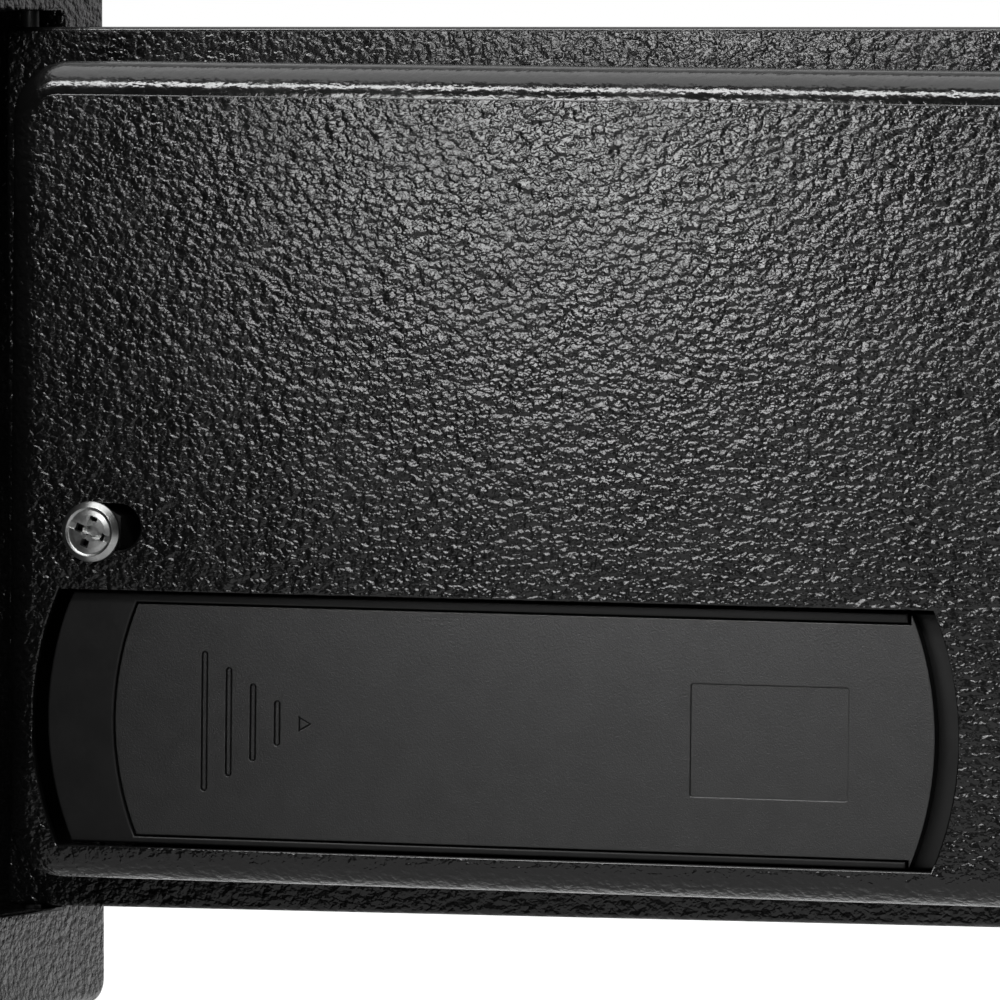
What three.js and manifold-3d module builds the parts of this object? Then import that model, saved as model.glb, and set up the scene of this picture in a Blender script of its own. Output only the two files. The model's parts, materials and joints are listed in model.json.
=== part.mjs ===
// A small electronic safe with its door standing open.
// Millimetres, +Z up. The front faces -Y, and the hinge is on the right seen from the front.
// The origin is the middle of the underside.
import * as THREE from "three";
import { mergeVertices } from "three/addons/utils/BufferGeometryUtils.js";
import Module from "manifold-3d";

const wasm = await Module();
wasm.setup();

// Driving dimensions

const body = { width: 230, height: 170, depth: 170, sheet: 1.2, edgeBend: 4, frontBend: 1.8 };
const frame = {
  sideStrip: 14,
  topStrip: 14,
  bottomStrip: 16,
  thickness: 3.7,
  bossWidth: 14,
  bossHeight: 11,
  bossThickness: 3,
  bossLedge: 0.4,
};
const backPanel = { thickness: 1.5, holeDiameter: 10, holeSpacing: 120, holeHeight: 85 };
const plug = { rearInset: 0.3, flange: 2.5, taper: 0.7, headHeight: 1.8 };
const mat = { width: 216, depth: 150, thickness: 3, rearInset: 5 };
const door = {
  thickness: 5,
  corner: 0.6,
  hingeGap: 1.6,
  freeGap: 1.8,
  topGap: 2.5,
  bottomGap: 0.5,
  openAngle: 97.49,
};
const wireSlot = { left: 64, right: 84, bottom: 113, top: 119, corner: 2 };
const hinge = { fromEdge: 3.5, behindInnerFace: -1.8, pinDiameter: 2.8, holeDiameter: 3.2, depth: 9 };
const cover = {
  hingeInset: 12.5,
  freeInset: 6.6,
  endInset: 6,
  depth: 34.4,
  sheet: 1.2,
  bend: 5,
  cornerRadius: 8.5,
  tilt: 0.55,
};
const windowMargin = { left: 1.8, right: 0.9, bottom: 0.6, top: 0.9 };
const boltHole = { diameter: 17, shift: 0.8 };
const coverScrews = [
  { name: "hinge_side", u: 27.3, w: 59.3 },
  { name: "bolt_side", u: 182.6, w: 75 },
];
const screw = { shankDiameter: 3, shankLength: 8, headDiameter: 9.3, headHeight: 3 };
const screwSlot = { length: 8.2, width: 1, depth: 1.2, turn: -21 };
const screwCross = { length: 5.4, width: 1.3, depth: 2 };
const screwHole = { diameter: 5, slotWidth: 7.1, slotReach: 4.2, slotRise: 0.8 };
const post = { width: 9.4, bore: 3.4, boreDepth: 9 };
const batteryBox = {
  left: 19.3,
  right: 165.3,
  bottom: 11.5,
  top: 50,
  endBulge: 4.1,
  recess: 2.25,
  lidThickness: 2.05,
  tilt: 0.115,
};
const lid = {
  left: 30.4,
  right: 161.4,
  railEnd: 157,
  bottom: 12.9,
  top: 48.2,
  bulge: 3.6,
  wideBulge: 3.9,
  gap: 0.3,
};
const grip = { lengths: [21.4, 16.7, 11.9, 7], first: 44.9, pitch: 3.93, width: 1, depth: 0.6 };
const arrow = { base: 60.2, tip: 62.3, halfWidth: 1.2, depth: 0.5 };
const panel = { left: 122.9, right: 147.8, bottom: 21.4, top: 38.5, corner: 0.4, depth: 0.25 };
const tray = { left: 36, right: 158, bottom: 14.3, top: 47.2, floor: 13.2, wall: 1.2 };
const trayLegs = { u: [44, 150], w: [19.5, 42], diameter: 6 };
const divider = { left: 143.4, right: 144.6 };
const cell = {
  diameter: 14.2,
  length: 50.5,
  button: 1.3,
  buttonRadius: 2.75,
  edge: 0.6,
  first: 40.4,
  rowGap: 0.5,
};
const contact = { sheet: 0.5, halfWidth: 6, coneRoot: 3.6, coneTip: 1.8, coneLength: 2.3 };
const link = { bottom: 17, top: 44.5 };
const resetButton = { u: 151, head: 8, stem: 5, headHeight: 1.7, stemHeight: 3.5, travel: 1 };
const knobAxis = { u: 150, w: 74 };
const knob = {
  radius: 13,
  waistRadius: 11.8,
  shoulderRadius: 11.4,
  faceRadius: 10,
  crown: 1.4,
  height: 19,
  skirt: 5,
  standOff: 1.3,
  boreDiameter: 6.2,
  boreDepth: 14,
  flutes: 12,
  fluteDiameter: 4.4,
};
const spindle = { diameter: 6, outside: 15, inside: 7.2 };
const bush = { bore: 6.6, stem: 10, flange: 14, flangeHeight: 1.7 };
const crank = { radius: 7.6, swing: 90, pinDiameter: 4, back: 3.5, front: 6.5, width: 7, eye: 12 };
const crankSlot = { sideGap: 0.5, endGap: 0.8 };
const bolt = {
  diameter: 14,
  lower: 36,
  upper: 112,
  height: 9.5,
  rear: 167.6,
  tip: 196.5,
  chamfer: 1.2,
  rivetDiameter: 5.8,
  rivetLength: 2.4,
};
const carriage = { bottom: 26, top: 122, back: 2.5, front: 16.5, sheet: 2.5 };
const tongue = { left: 134, bottom: 70, top: 95, back: 9, front: 11 };
const bracket = { left: 181, right: 188.3, bottom: 24, top: 124, sheet: 2, front: 19, halfRise: 12 };
const solenoid = {
  bottom: 108,
  top: 127,
  left: 141,
  right: 159,
  back: 3,
  front: 17,
  sheet: 1.2,
  tabInset: 5,
  bobbinRadius: 6.6,
  windingRadius: 6.2,
  flange: 1,
};
const plunger = {
  u: 150,
  n: 10,
  diameter: 5,
  chamfer: 0.5,
  tip: 95.4,
  clearance: 0.5,
  endInset: 6,
  notchDepth: 5,
  notchWidth: 6.5,
};
const collar = { bottom: 101, top: 102.4, diameter: 10 };
const override = { u: 124, w: 97.7, diameter: 16, plugDiameter: 9, outer: -10.6, inner: 12.4 };
const keyway = { width: 1.6, height: 6, end: -2 };
const cam = { eye: 11, fingerWidth: 6, fingerLength: 26, thickness: 2.2 };
const nut = { width: 21, front: 3.4 };
const fascia = { left: 38, right: 136, bottom: 58, top: 126, height: 7, wall: 2, corner: 12, ease: 1.5 };
const keyPad = {
  columns: [85, 72, 59],
  rows: [106, 94.5, 83, 71.5],
  width: 9.6,
  height: 7.6,
  proud: 1.3,
  rim: 1,
  edge: 0.5,
  corner: 0.8,
};
const lamp = { radius: 1.5, rim: 1.9, proud: 1.3, depth: 4 };
const cap = { radius: 9.6, height: 1.8, edge: 0.6, plugRadius: 8.1, plugDepth: 1.6, port: 17 };
const membrane = { left: 51, right: 93, bottom: 65, top: 112, thickness: 2.2 };
const lampRow = 117;
const board = { left: 40, right: 108, bottom: 60, top: 124, standOff: 3, thickness: 1.6 };
const stud = { inset: 5, diameter: 4.4, pinDiameter: 1.8, pinHole: 2.3, proud: 0.8 };
const chip = { u: [66, 80], w: [84, 98], height: 2 };
const relay = { u: [86, 100], w: [70, 80], height: 6 };
const connector = { u: [50, 62], w: [66, 71], height: 5 };
const capacitor = { u: 54, rows: [104, 112], diameter: 6.3, height: 7 };
const buzzer = { u: 92, w: 110, diameter: 12, height: 8, mouth: 2.4 };

const leastRadius = 0.2;
const touchGap = 0.1;
const seatGap = 0.2;
const runningGap = 0.3;
const past = 1;
const far = 400;

// Worked-out places. The door's own frame is u from its hinge edge to its free edge,
// w up from its lower edge, and n out of its inner face, so n = 0 is that face.

const openingWidth = body.width - 2 * frame.sideStrip;
const openingHeight = body.height - frame.topStrip - frame.bottomStrip;
const doorWidth = openingWidth - door.hingeGap - door.freeGap;
const doorHeight = openingHeight - door.topGap - door.bottomGap;
const hingeEdgeX = openingWidth / 2 - door.hingeGap;
const innerFaceY = -body.depth / 2 + door.thickness;
const doorBottomZ = frame.bottomStrip + door.bottomGap;
const fasciaBack = -door.thickness - seatGap;
const fasciaFace = fasciaBack - fascia.height;
const coverCentre = { u: 100, w: doorHeight / 2 };
const boxCentre = {
  u: (batteryBox.left + batteryBox.right) / 2,
  w: (batteryBox.bottom + batteryBox.top) / 2,
};
const boxFace = cover.depth - batteryBox.recess;
const boxSeat = boxFace - batteryBox.lidThickness - touchGap;
const restAngle = -crank.swing / 2;
const restPin = {
  u: knobAxis.u + crank.radius * Math.sin(THREE.MathUtils.degToRad(restAngle)),
  w: knobAxis.w + crank.radius * Math.cos(THREE.MathUtils.degToRad(restAngle)),
};
const boltStroke = 2 * (knobAxis.u - restPin.u);
const rowOffset = (cell.diameter + cell.rowGap) / 2;
const cellRows = [boxCentre.w - rowOffset, boxCentre.w + rowOffset];
const cellHeight = tray.floor + tray.wall + cell.diameter / 2 + seatGap;
const plungerBore = plunger.diameter / 2 + plunger.clearance;
const cellStarts = [cell.first, cell.first + cell.length + runningGap];
const contactHeights = [tray.floor + tray.wall + runningGap, cellHeight + contact.halfWidth];

// Materials

const paint = { color: 0x232325, roughness: 0.55, metalness: 0 };
const plastic = { color: 0x1c1c1d, roughness: 0.5, metalness: 0 };
const zinc = { color: 0xb9bbb8, roughness: 0.35, metalness: 1 };
const steel = { color: 0x8f9294, roughness: 0.4, metalness: 1 };
const chrome = { color: 0xc8cacc, roughness: 0.15, metalness: 1 };
const brass = { color: 0xb08d4a, roughness: 0.35, metalness: 1 };
const copper = { color: 0x9c5a2e, roughness: 0.4, metalness: 1 };
const rubber = { color: 0x2b2b2b, roughness: 0.85, metalness: 0 };
const felt = { color: 0x3a3a3c, roughness: 1, metalness: 0 };
const laminate = { color: 0x1d4a2c, roughness: 0.5, metalness: 0 };
const sleeve = { color: 0x2f4f6f, roughness: 0.4, metalness: 0.2 };
const keyPlastic = { color: 0xd6d6d2, roughness: 0.5, metalness: 0 };
const redPlastic = { color: 0xa8201c, roughness: 0.4, metalness: 0 };
const amberPlastic = { color: 0xc98a1a, roughness: 0.3, metalness: 0 };
const greenPlastic = { color: 0x2d8a3e, roughness: 0.3, metalness: 0 };

// Solids from three.js geometry

/** Make a closed three.js geometry into a solid that can be joined and cut. */
function solid(geometry) {
  const bare = geometry.clone();
  bare.deleteAttribute("normal");
  bare.deleteAttribute("uv");
  const welded = mergeVertices(bare);
  const corners = [];
  for (let i = 0; i < welded.index.count; i += 3) {
    const [a, b, c] = [0, 1, 2].map((k) => welded.index.getX(i + k));
    const collapsed = a === b || b === c || c === a;
    if (!collapsed) corners.push(a, b, c);
  }
  const vertProperties = new Float32Array(welded.attributes.position.array);
  const triVerts = new Uint32Array(corners);
  return new wasm.Manifold(new wasm.Mesh({ numProp: 3, vertProperties, triVerts }));
}

/** Bring a solid back as a three.js geometry. */
function geometryOf(manifold) {
  const mesh = manifold.getMesh();
  const geometry = new THREE.BufferGeometry();
  geometry.setAttribute("position", new THREE.BufferAttribute(mesh.vertProperties, 3));
  geometry.setIndex(new THREE.BufferAttribute(mesh.triVerts, 1));
  geometry.computeVertexNormals();
  return geometry;
}

/** A box between two corners. */
function block([x0, x1], [y0, y1], [z0, z1]) {
  const geometry = new THREE.BoxGeometry(x1 - x0, y1 - y0, z1 - z0);
  geometry.translate((x0 + x1) / 2, (y0 + y1) / 2, (z0 + z1) / 2);
  return solid(geometry);
}

/** A flat outline given thickness from z0 to z1. */
function slab(shape, z0, z1, curveSegments = 6) {
  const geometry = new THREE.ExtrudeGeometry(shape, { depth: z1 - z0, bevelEnabled: false, curveSegments });
  geometry.translate(0, 0, z0);
  return solid(geometry);
}

/** A round rod along z. */
function rod(x, y, diameter, z0, z1, sides = 18) {
  const geometry = new THREE.CylinderGeometry(diameter / 2, diameter / 2, z1 - z0, sides);
  geometry.rotateX(Math.PI / 2);
  geometry.translate(x, y, (z0 + z1) / 2);
  return solid(geometry);
}

/** A turned piece about a line along z through x, y; the profile holds [radius, z] pairs. */
function turned(x, y, profile, sides = 24) {
  const points = profile.map(([radius, z]) => new THREE.Vector2(radius, z));
  const geometry = new THREE.LatheGeometry(points, sides);
  geometry.rotateX(Math.PI / 2);
  geometry.translate(x, y, 0);
  return solid(geometry);
}

/** A rectangle with rounded corners, as an outline. */
function roundedRectangle([x0, x1], [y0, y1], radius) {
  const shape = new THREE.Shape();
  shape.moveTo(x0 + radius, y0);
  shape.lineTo(x1 - radius, y0);
  shape.absarc(x1 - radius, y0 + radius, radius, -Math.PI / 2, 0);
  shape.lineTo(x1, y1 - radius);
  shape.absarc(x1 - radius, y1 - radius, radius, 0, Math.PI / 2);
  shape.lineTo(x0 + radius, y1);
  shape.absarc(x0 + radius, y1 - radius, radius, Math.PI / 2, Math.PI);
  shape.lineTo(x0, y0 + radius);
  shape.absarc(x0 + radius, y0 + radius, radius, Math.PI, 1.5 * Math.PI);
  return shape;
}

/** An outline with straight top and bottom edges and ends bowed outwards by a bulge. */
function bowedOutline([x0, x1], [y0, y1], bulge) {
  const half = (y1 - y0) / 2;
  const middle = (y0 + y1) / 2;
  const radius = (half * half + bulge * bulge) / (2 * bulge);
  const reach = Math.asin(half / radius);
  const shape = new THREE.Shape();
  shape.moveTo(x0 + bulge, y0);
  shape.lineTo(x1 - bulge, y0);
  shape.absarc(x1 - radius, middle, radius, -reach, reach);
  shape.lineTo(x0 + bulge, y1);
  shape.absarc(x0 + radius, middle, radius, Math.PI - reach, Math.PI + reach);
  return shape;
}

/** A solid box with rounded upright corners whose edges round over at the far end, z1. */
function formedBox([x0, x1], [y0, y1], [z0, z1], cornerRadius, bend, steps) {
  const outline = roundedRectangle(
    [x0 + bend, x1 - bend],
    [y0 + bend, y1 - bend],
    Math.max(cornerRadius - bend, leastRadius),
  );
  const geometry = new THREE.ExtrudeGeometry(outline, {
    depth: z1 - z0,
    bevelEnabled: true,
    bevelThickness: bend,
    bevelSize: bend,
    bevelSegments: steps,
    curveSegments: 5,
  });
  geometry.translate(0, 0, z0 - bend);
  const rounded = solid(geometry);
  return rounded.subtract(block([x0 - past, x1 + past], [y0 - past, y1 + past], [z0 - far, z0]));
}

/** Join a list of solids. */
function joined(...solids) {
  return solids.reduce((sum, next) => sum.add(next));
}

/** Cut a list of solids from the first. */
function cut(from, ...solids) {
  return solids.reduce((rest, next) => rest.subtract(next), from);
}

/** Add a named piece to a group. */
function add(group, name, manifold, material) {
  const mesh = new THREE.Mesh(geometryOf(manifold), new THREE.MeshStandardMaterial(material));
  mesh.name = name;
  group.add(mesh);
  return mesh;
}

/** A group inside another, turned about a point of its parent's frame by degrees about z. */
function turnedAbout(parent, centre, degrees) {
  const pivot = new THREE.Group();
  pivot.position.set(centre.u, centre.w, 0);
  pivot.rotation.z = THREE.MathUtils.degToRad(degrees);
  const content = new THREE.Group();
  content.position.set(-centre.u, -centre.w, 0);
  pivot.add(content);
  parent.add(pivot);
  return content;
}

// The body: a wrap with its front folded in, a frame behind the fold, a back and a mat

/** The body drawn on its back: x across, y up from the underside, z from the front to the rear. */
function bodyGroup(parent) {
  const group = new THREE.Group();
  const across = new THREE.Vector3(1, 0, 0);
  const up = new THREE.Vector3(0, 0, 1);
  const forward = new THREE.Vector3(0, -1, 0);
  group.quaternion.setFromRotationMatrix(new THREE.Matrix4().makeBasis(across, up, forward));
  parent.add(group);
  return group;
}

function openingBlock(z0, z1) {
  const half = openingWidth / 2;
  return block([-half, half], [frame.bottomStrip, body.height - frame.topStrip], [z0, z1]);
}

function bodyShell() {
  const half = body.width / 2;
  const frontZ = body.depth / 2;
  const rearZ = -frontZ;
  const inside = body.sheet;
  const outer = formedBox([-half, half], [0, body.height], [rearZ, frontZ], body.edgeBend, body.frontBend, 3);
  const inner = formedBox(
    [-half + inside, half - inside],
    [inside, body.height - inside],
    [rearZ - past, frontZ - inside],
    body.edgeBend - inside,
    body.frontBend - inside,
    2,
  );
  return cut(outer, inner, openingBlock(0, frontZ + past));
}

function frontFrame() {
  const back = body.depth / 2 - door.thickness;
  const front = back + frame.thickness;
  const edge = body.frontBend + touchGap;
  const half = body.width / 2 - edge;
  const outline = roundedRectangle([-half, half], [edge, body.height - edge], body.edgeBend - edge);
  const ring = slab(outline, back, front);
  const pinX = hingeEdgeX - hinge.fromEdge;
  const pinZ = back - hinge.behindInnerFace;
  const bossX = [pinX - frame.bossWidth / 2, pinX + frame.bossWidth / 2];
  const bossZ = [back - frame.bossThickness, back + frame.bossLedge];
  const lowEdge = frame.bottomStrip;
  const lowBoss = block(bossX, [lowEdge - frame.bossHeight, lowEdge - frame.bossLedge], bossZ);
  const highEdge = body.height - frame.topStrip;
  const highBoss = block(bossX, [highEdge + frame.bossLedge, highEdge + frame.bossHeight], bossZ);
  const hole = new THREE.CylinderGeometry(hinge.holeDiameter / 2, hinge.holeDiameter / 2, body.height, 20);
  hole.translate(pinX, body.height / 2, pinZ);
  const inward = block(bossX, [lowEdge - hinge.depth, highEdge + hinge.depth], [0, far]);
  return cut(joined(ring, lowBoss, highBoss), openingBlock(0, far), solid(hole).intersect(inward));
}

function backPanelSolid() {
  const rear = -body.depth / 2;
  const front = rear + backPanel.thickness;
  const edge = body.sheet + touchGap;
  const half = body.width / 2 - edge;
  const outline = roundedRectangle([-half, half], [edge, body.height - edge], body.edgeBend - edge);
  const reach = backPanel.holeSpacing / 2;
  const holes = [-reach, reach].map((x) =>
    rod(x, backPanel.holeHeight, backPanel.holeDiameter, rear - past, front + past),
  );
  return cut(slab(outline, rear, front), ...holes);
}

function anchorPlug(side) {
  const rear = -body.depth / 2;
  const inner = rear + backPanel.thickness;
  const stem = backPanel.holeDiameter / 2 - runningGap;
  const profile = [
    [0, rear + plug.rearInset],
    [stem, rear + plug.rearInset],
    [stem, inner + touchGap],
    [stem + plug.flange, inner + touchGap],
    [stem + plug.flange - plug.taper, inner + plug.headHeight],
    [0, inner + plug.headHeight],
  ];
  return turned((side * backPanel.holeSpacing) / 2, backPanel.holeHeight, profile, 14);
}

function addBody(parent) {
  const group = bodyGroup(parent);
  const floorTop = body.sheet + touchGap;
  const matX = [-mat.width / 2, mat.width / 2];
  const matRear = -body.depth / 2 + mat.rearInset;
  const matZ = [matRear, matRear + mat.depth];
  add(group, "body_shell", bodyShell(), paint);
  add(group, "front_frame", frontFrame(), paint);
  add(group, "back_panel", backPanelSolid(), paint);
  add(group, "floor_mat", block(matX, [floorTop, floorTop + mat.thickness], matZ), felt);
  add(group, "anchor_plug_left", anchorPlug(-1), rubber);
  add(group, "anchor_plug_right", anchorPlug(1), rubber);
}

// The door plate and its hinge pins

/** Where the four studs hold the circuit board. */
const studPlaces = [board.left + stud.inset, board.right - stud.inset].flatMap((u) =>
  [board.bottom + stud.inset, board.top - stud.inset].map((w) => ({ u, w })),
);

function doorPlate() {
  const outer = -door.thickness;
  const plate = slab(roundedRectangle([0, doorWidth], [0, doorHeight], door.corner), outer, 0, 2);
  const studs = studPlaces.flatMap(({ u, w }) => [
    rod(u, w, stud.diameter, outer / 2, board.standOff, 8),
    rod(u, w, stud.pinDiameter, 0, board.standOff + board.thickness + stud.proud, 8),
  ]);
  const pinHole = new THREE.CylinderGeometry(hinge.pinDiameter / 2, hinge.pinDiameter / 2, far, 20);
  pinHole.translate(hinge.fromEdge, 0, hinge.behindInnerFace);
  const middle = block([-far, far], [hinge.depth, doorHeight - hinge.depth], [-far, far]);
  const { left, right, bottom, top, corner } = wireSlot;
  const wires = roundedRectangle([left, right], [bottom, top], corner);
  return cut(
    joined(plate, ...studs),
    solid(pinHole).subtract(middle),
    rod(knobAxis.u, knobAxis.w, bush.stem + 2 * seatGap, outer - past, past),
    rod(override.u, override.w, override.diameter + 2 * seatGap, outer - past, past, 24),
    slab(wires, outer - past, past, 3),
  );
}

function hingePin(atTop) {
  const reach = hinge.depth - past;
  const start = atTop ? doorHeight - hinge.depth + runningGap : hinge.depth - runningGap;
  const end = atTop ? doorHeight + door.topGap + reach : -door.bottomGap - reach;
  const diameter = hinge.pinDiameter - touchGap;
  const geometry = new THREE.CylinderGeometry(diameter / 2, diameter / 2, Math.abs(end - start), 16);
  geometry.translate(hinge.fromEdge, (start + end) / 2, hinge.behindInnerFace);
  return solid(geometry);
}

// The formed cover over the mechanism, with its screws and posts

/** The cover's outside when the inset is 0, or the space in it when the inset is the sheet. */
function coverOutlineBox(inset, top, bottom) {
  const u = [cover.hingeInset + inset, doorWidth - cover.freeInset - inset];
  const w = [cover.endInset + inset, doorHeight - cover.endInset - inset];
  const corner = cover.cornerRadius - inset;
  const steps = inset ? 2 : 4;
  return formedBox(u, w, [bottom, top - inset], corner, cover.bend - inset, steps);
}

/** A hole of a diameter through the cover's side, the middle of the hole at a height w. */
function boreAlongU(u, w, diameter, sides = 20) {
  const geometry = new THREE.CylinderGeometry(diameter / 2, diameter / 2, 4 * bracket.sheet, sides);
  geometry.rotateZ(Math.PI / 2);
  geometry.translate(u, w, bolt.height);
  return solid(geometry);
}

function doorCover() {
  const window = bowedOutline(
    [batteryBox.left - windowMargin.left, batteryBox.right + windowMargin.right],
    [batteryBox.bottom - windowMargin.bottom, batteryBox.top + windowMargin.top],
    batteryBox.endBulge,
  );
  const side = doorWidth - cover.freeInset;
  const boltHoles = [bolt.lower, bolt.upper].map((w) =>
    boreAlongU(side, w + boltHole.shift, boltHole.diameter),
  );
  const under = cover.depth - cover.bend;
  const over = cover.depth + past;
  const [slotted, plain] = coverScrews;
  const slotEnds = [slotted.u, slotted.u + screwHole.slotReach];
  const slotMiddle = slotted.w + screwHole.slotRise;
  const slotSides = [slotMiddle - screwHole.slotWidth / 2, slotMiddle + screwHole.slotWidth / 2];
  const screwHoles = [
    ...slotEnds.map((u) => rod(u, slotMiddle, screwHole.slotWidth, under, over, 20)),
    block(slotEnds, slotSides, [under, over]),
    rod(plain.u, plain.w, screwHole.diameter, under, over, 12),
  ];
  const outside = coverOutlineBox(0, cover.depth, seatGap);
  const inside = coverOutlineBox(cover.sheet, cover.depth, -past);
  return cut(outside, inside, slab(window, under, over, 8), ...boltHoles, ...screwHoles);
}

/** A hexagonal post; the bolt side's stands on the bolt bracket's foot. */
function coverPost(place) {
  const bottom = place.name === "hinge_side" ? seatGap : bracket.sheet + 2 * seatGap;
  const top = cover.depth - cover.sheet - seatGap;
  const bore = rod(place.u, place.w, post.bore, top - post.boreDepth, top + past, 12);
  return rod(place.u, place.w, post.width, bottom, top, 6).subtract(bore);
}

/** A pan head screw with a slot and a cross in it. */
function coverScrew(place) {
  const seat = cover.depth + touchGap / 2;
  const shank = screw.shankDiameter / 2;
  const head = screw.headDiameter / 2;
  const top = seat + screw.headHeight;
  const profile = [
    [0, seat - screw.shankLength],
    [shank, seat - screw.shankLength],
    [shank, seat],
    [head, seat],
    [head, seat + 0.17 * screw.headHeight],
    [0.935 * head, seat + 0.5 * screw.headHeight],
    [0.75 * head, seat + 0.77 * screw.headHeight],
    [0.47 * head, seat + 0.93 * screw.headHeight],
    [0, top],
  ];
  const slots = [
    screwSlot,
    { ...screwCross, turn: screwSlot.turn },
    { ...screwCross, turn: screwSlot.turn + 90 },
  ];
  const cuts = slots.map(({ length, width, depth, turn }) => {
    const geometry = new THREE.BoxGeometry(length, width, 2 * screw.headHeight);
    geometry.rotateZ(THREE.MathUtils.degToRad(turn));
    geometry.translate(place.u, place.w, top - depth + screw.headHeight);
    return solid(geometry);
  });
  return cut(turned(place.u, place.w, profile, 20), ...cuts);
}

// The battery box, its sliding lid, its cells and their contacts

function batteryBoxSolid() {
  const u = [batteryBox.left, batteryBox.right];
  const w = [batteryBox.bottom, batteryBox.top];
  const flangeBack = boxSeat - 1.5 * tray.wall;
  const flange = slab(bowedOutline(u, w, batteryBox.endBulge), flangeBack, boxFace, 12);
  const outside = block([tray.left, tray.right], [tray.bottom, tray.top], [tray.floor, boxSeat - touchGap]);
  const wall = tray.wall;
  const legs = trayLegs.u.flatMap((x) =>
    trayLegs.w.map((y) => rod(x, y, trayLegs.diameter, seatGap, tray.floor + wall / 2, 12)),
  );
  const inside = block(
    [tray.left + wall, tray.right - wall],
    [tray.bottom + wall, tray.top - wall],
    [tray.floor + wall, far],
  );
  const dividerN = [tray.floor + wall / 2, boxSeat - 2 * wall];
  const wallAcross = block([divider.left, divider.right], [tray.bottom, tray.top], dividerN);
  const pocketLeft = bowedOutline(
    [lid.left - lid.gap, far],
    [lid.bottom - lid.gap, lid.top + lid.gap],
    lid.bulge,
  );
  const pocket = slab(pocketLeft, boxSeat, far, 12);
  const beyondRails = block([lid.railEnd, far], [-far, far], [boxSeat, far]);
  return joined(cut(joined(flange, outside, ...legs), inside, pocket, beyondRails), wallAcross);
}

function lidSolid() {
  const narrow = bowedOutline([lid.left, far], [lid.bottom, lid.top], lid.bulge);
  const wide = bowedOutline([-far, lid.right], [batteryBox.bottom, batteryBox.top], lid.wideBulge);
  const z0 = boxSeat + touchGap;
  const joint = lid.railEnd + lid.gap;
  const left = slab(narrow, z0, boxFace, 12).intersect(block([0, joint + past], [0, far], [0, far]));
  const right = slab(wide, z0, boxFace, 12).intersect(block([joint, far], [0, far], [0, far]));
  const middle = (lid.bottom + lid.top) / 2;
  const slots = grip.lengths.map((length, index) => {
    const x = grip.first + index * grip.pitch;
    const across = [x - grip.width / 2, x + grip.width / 2];
    return block(across, [middle - length / 2, middle + length / 2], [boxFace - grip.depth, far]);
  });
  const arrowShape = new THREE.Shape([
    new THREE.Vector2(arrow.base, middle - arrow.halfWidth),
    new THREE.Vector2(arrow.tip, middle),
    new THREE.Vector2(arrow.base, middle + arrow.halfWidth),
  ]);
  const panelShape = roundedRectangle([panel.left, panel.right], [panel.bottom, panel.top], panel.corner);
  const panelCut = slab(panelShape, boxFace - panel.depth, far, 2);
  return cut(joined(left, right), ...slots, slab(arrowShape, boxFace - arrow.depth, far), panelCut);
}

/** A cell lying along u, its button towards +u or -u. */
function cellSolid(start, w, facing) {
  const r = cell.diameter / 2;
  const can = cell.length - cell.button;
  const profile = [
    [0, 0],
    [r - cell.edge, 0],
    [r, cell.edge],
    [r, can - cell.edge],
    [r - cell.edge, can],
    [cell.buttonRadius, can],
    [cell.buttonRadius, cell.length],
    [0, cell.length],
  ];
  const points = profile.map(([radius, z]) => new THREE.Vector2(radius, z));
  const geometry = new THREE.LatheGeometry(points, 14);
  geometry.translate(0, -cell.length / 2, 0);
  geometry.rotateZ(facing > 0 ? -Math.PI / 2 : Math.PI / 2);
  geometry.translate(start + cell.length / 2, w, cellHeight);
  return solid(geometry);
}

/** A contact blade with a sprung cone on its face towards the cells. */
function endContact(w) {
  const back = tray.left + tray.wall + touchGap;
  const front = back + contact.sheet;
  const blade = block([back, front], [w - contact.halfWidth, w + contact.halfWidth], contactHeights);
  const cone = new THREE.CylinderGeometry(contact.coneTip, contact.coneRoot, contact.coneLength, 16);
  cone.rotateZ(-Math.PI / 2);
  cone.translate(front - touchGap + contact.coneLength / 2, w, cellHeight);
  return joined(blade, solid(cone));
}

function addBatteryBox(parent) {
  add(parent, "battery_box", batteryBoxSolid(), plastic);
  add(parent, "battery_cover", lidSolid(), plastic);
  let number = 1;
  for (const [row, w] of cellRows.entries()) {
    for (const start of cellStarts) {
      add(parent, `battery_${number}`, cellSolid(start, w, row ? -1 : 1), sleeve);
      number += 1;
    }
  }
  const linkStart = cellStarts[1] + cell.length + runningGap;
  const linkPlate = block([linkStart, linkStart + contact.sheet], [link.bottom, link.top], contactHeights);
  add(parent, "contact_spring_lower", endContact(cellRows[0]), zinc);
  add(parent, "contact_spring_upper", endContact(cellRows[1]), zinc);
  add(parent, "contact_link", linkPlate, zinc);
  add(parent, "reset_button", resetButtonSolid(), redPlastic);
}

/** A headed button, with room under it to be pressed. */
function resetButtonSolid() {
  const { u, head, stem, headHeight, stemHeight, travel } = resetButton;
  const under = tray.floor + tray.wall + seatGap + travel + runningGap;
  const top = under + headHeight;
  return joined(
    rod(u, boxCentre.w, head, under, top),
    rod(u, boxCentre.w, stem, top - headHeight / 2, top + stemHeight),
  );
}

// The keypad on the outside of the door

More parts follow.
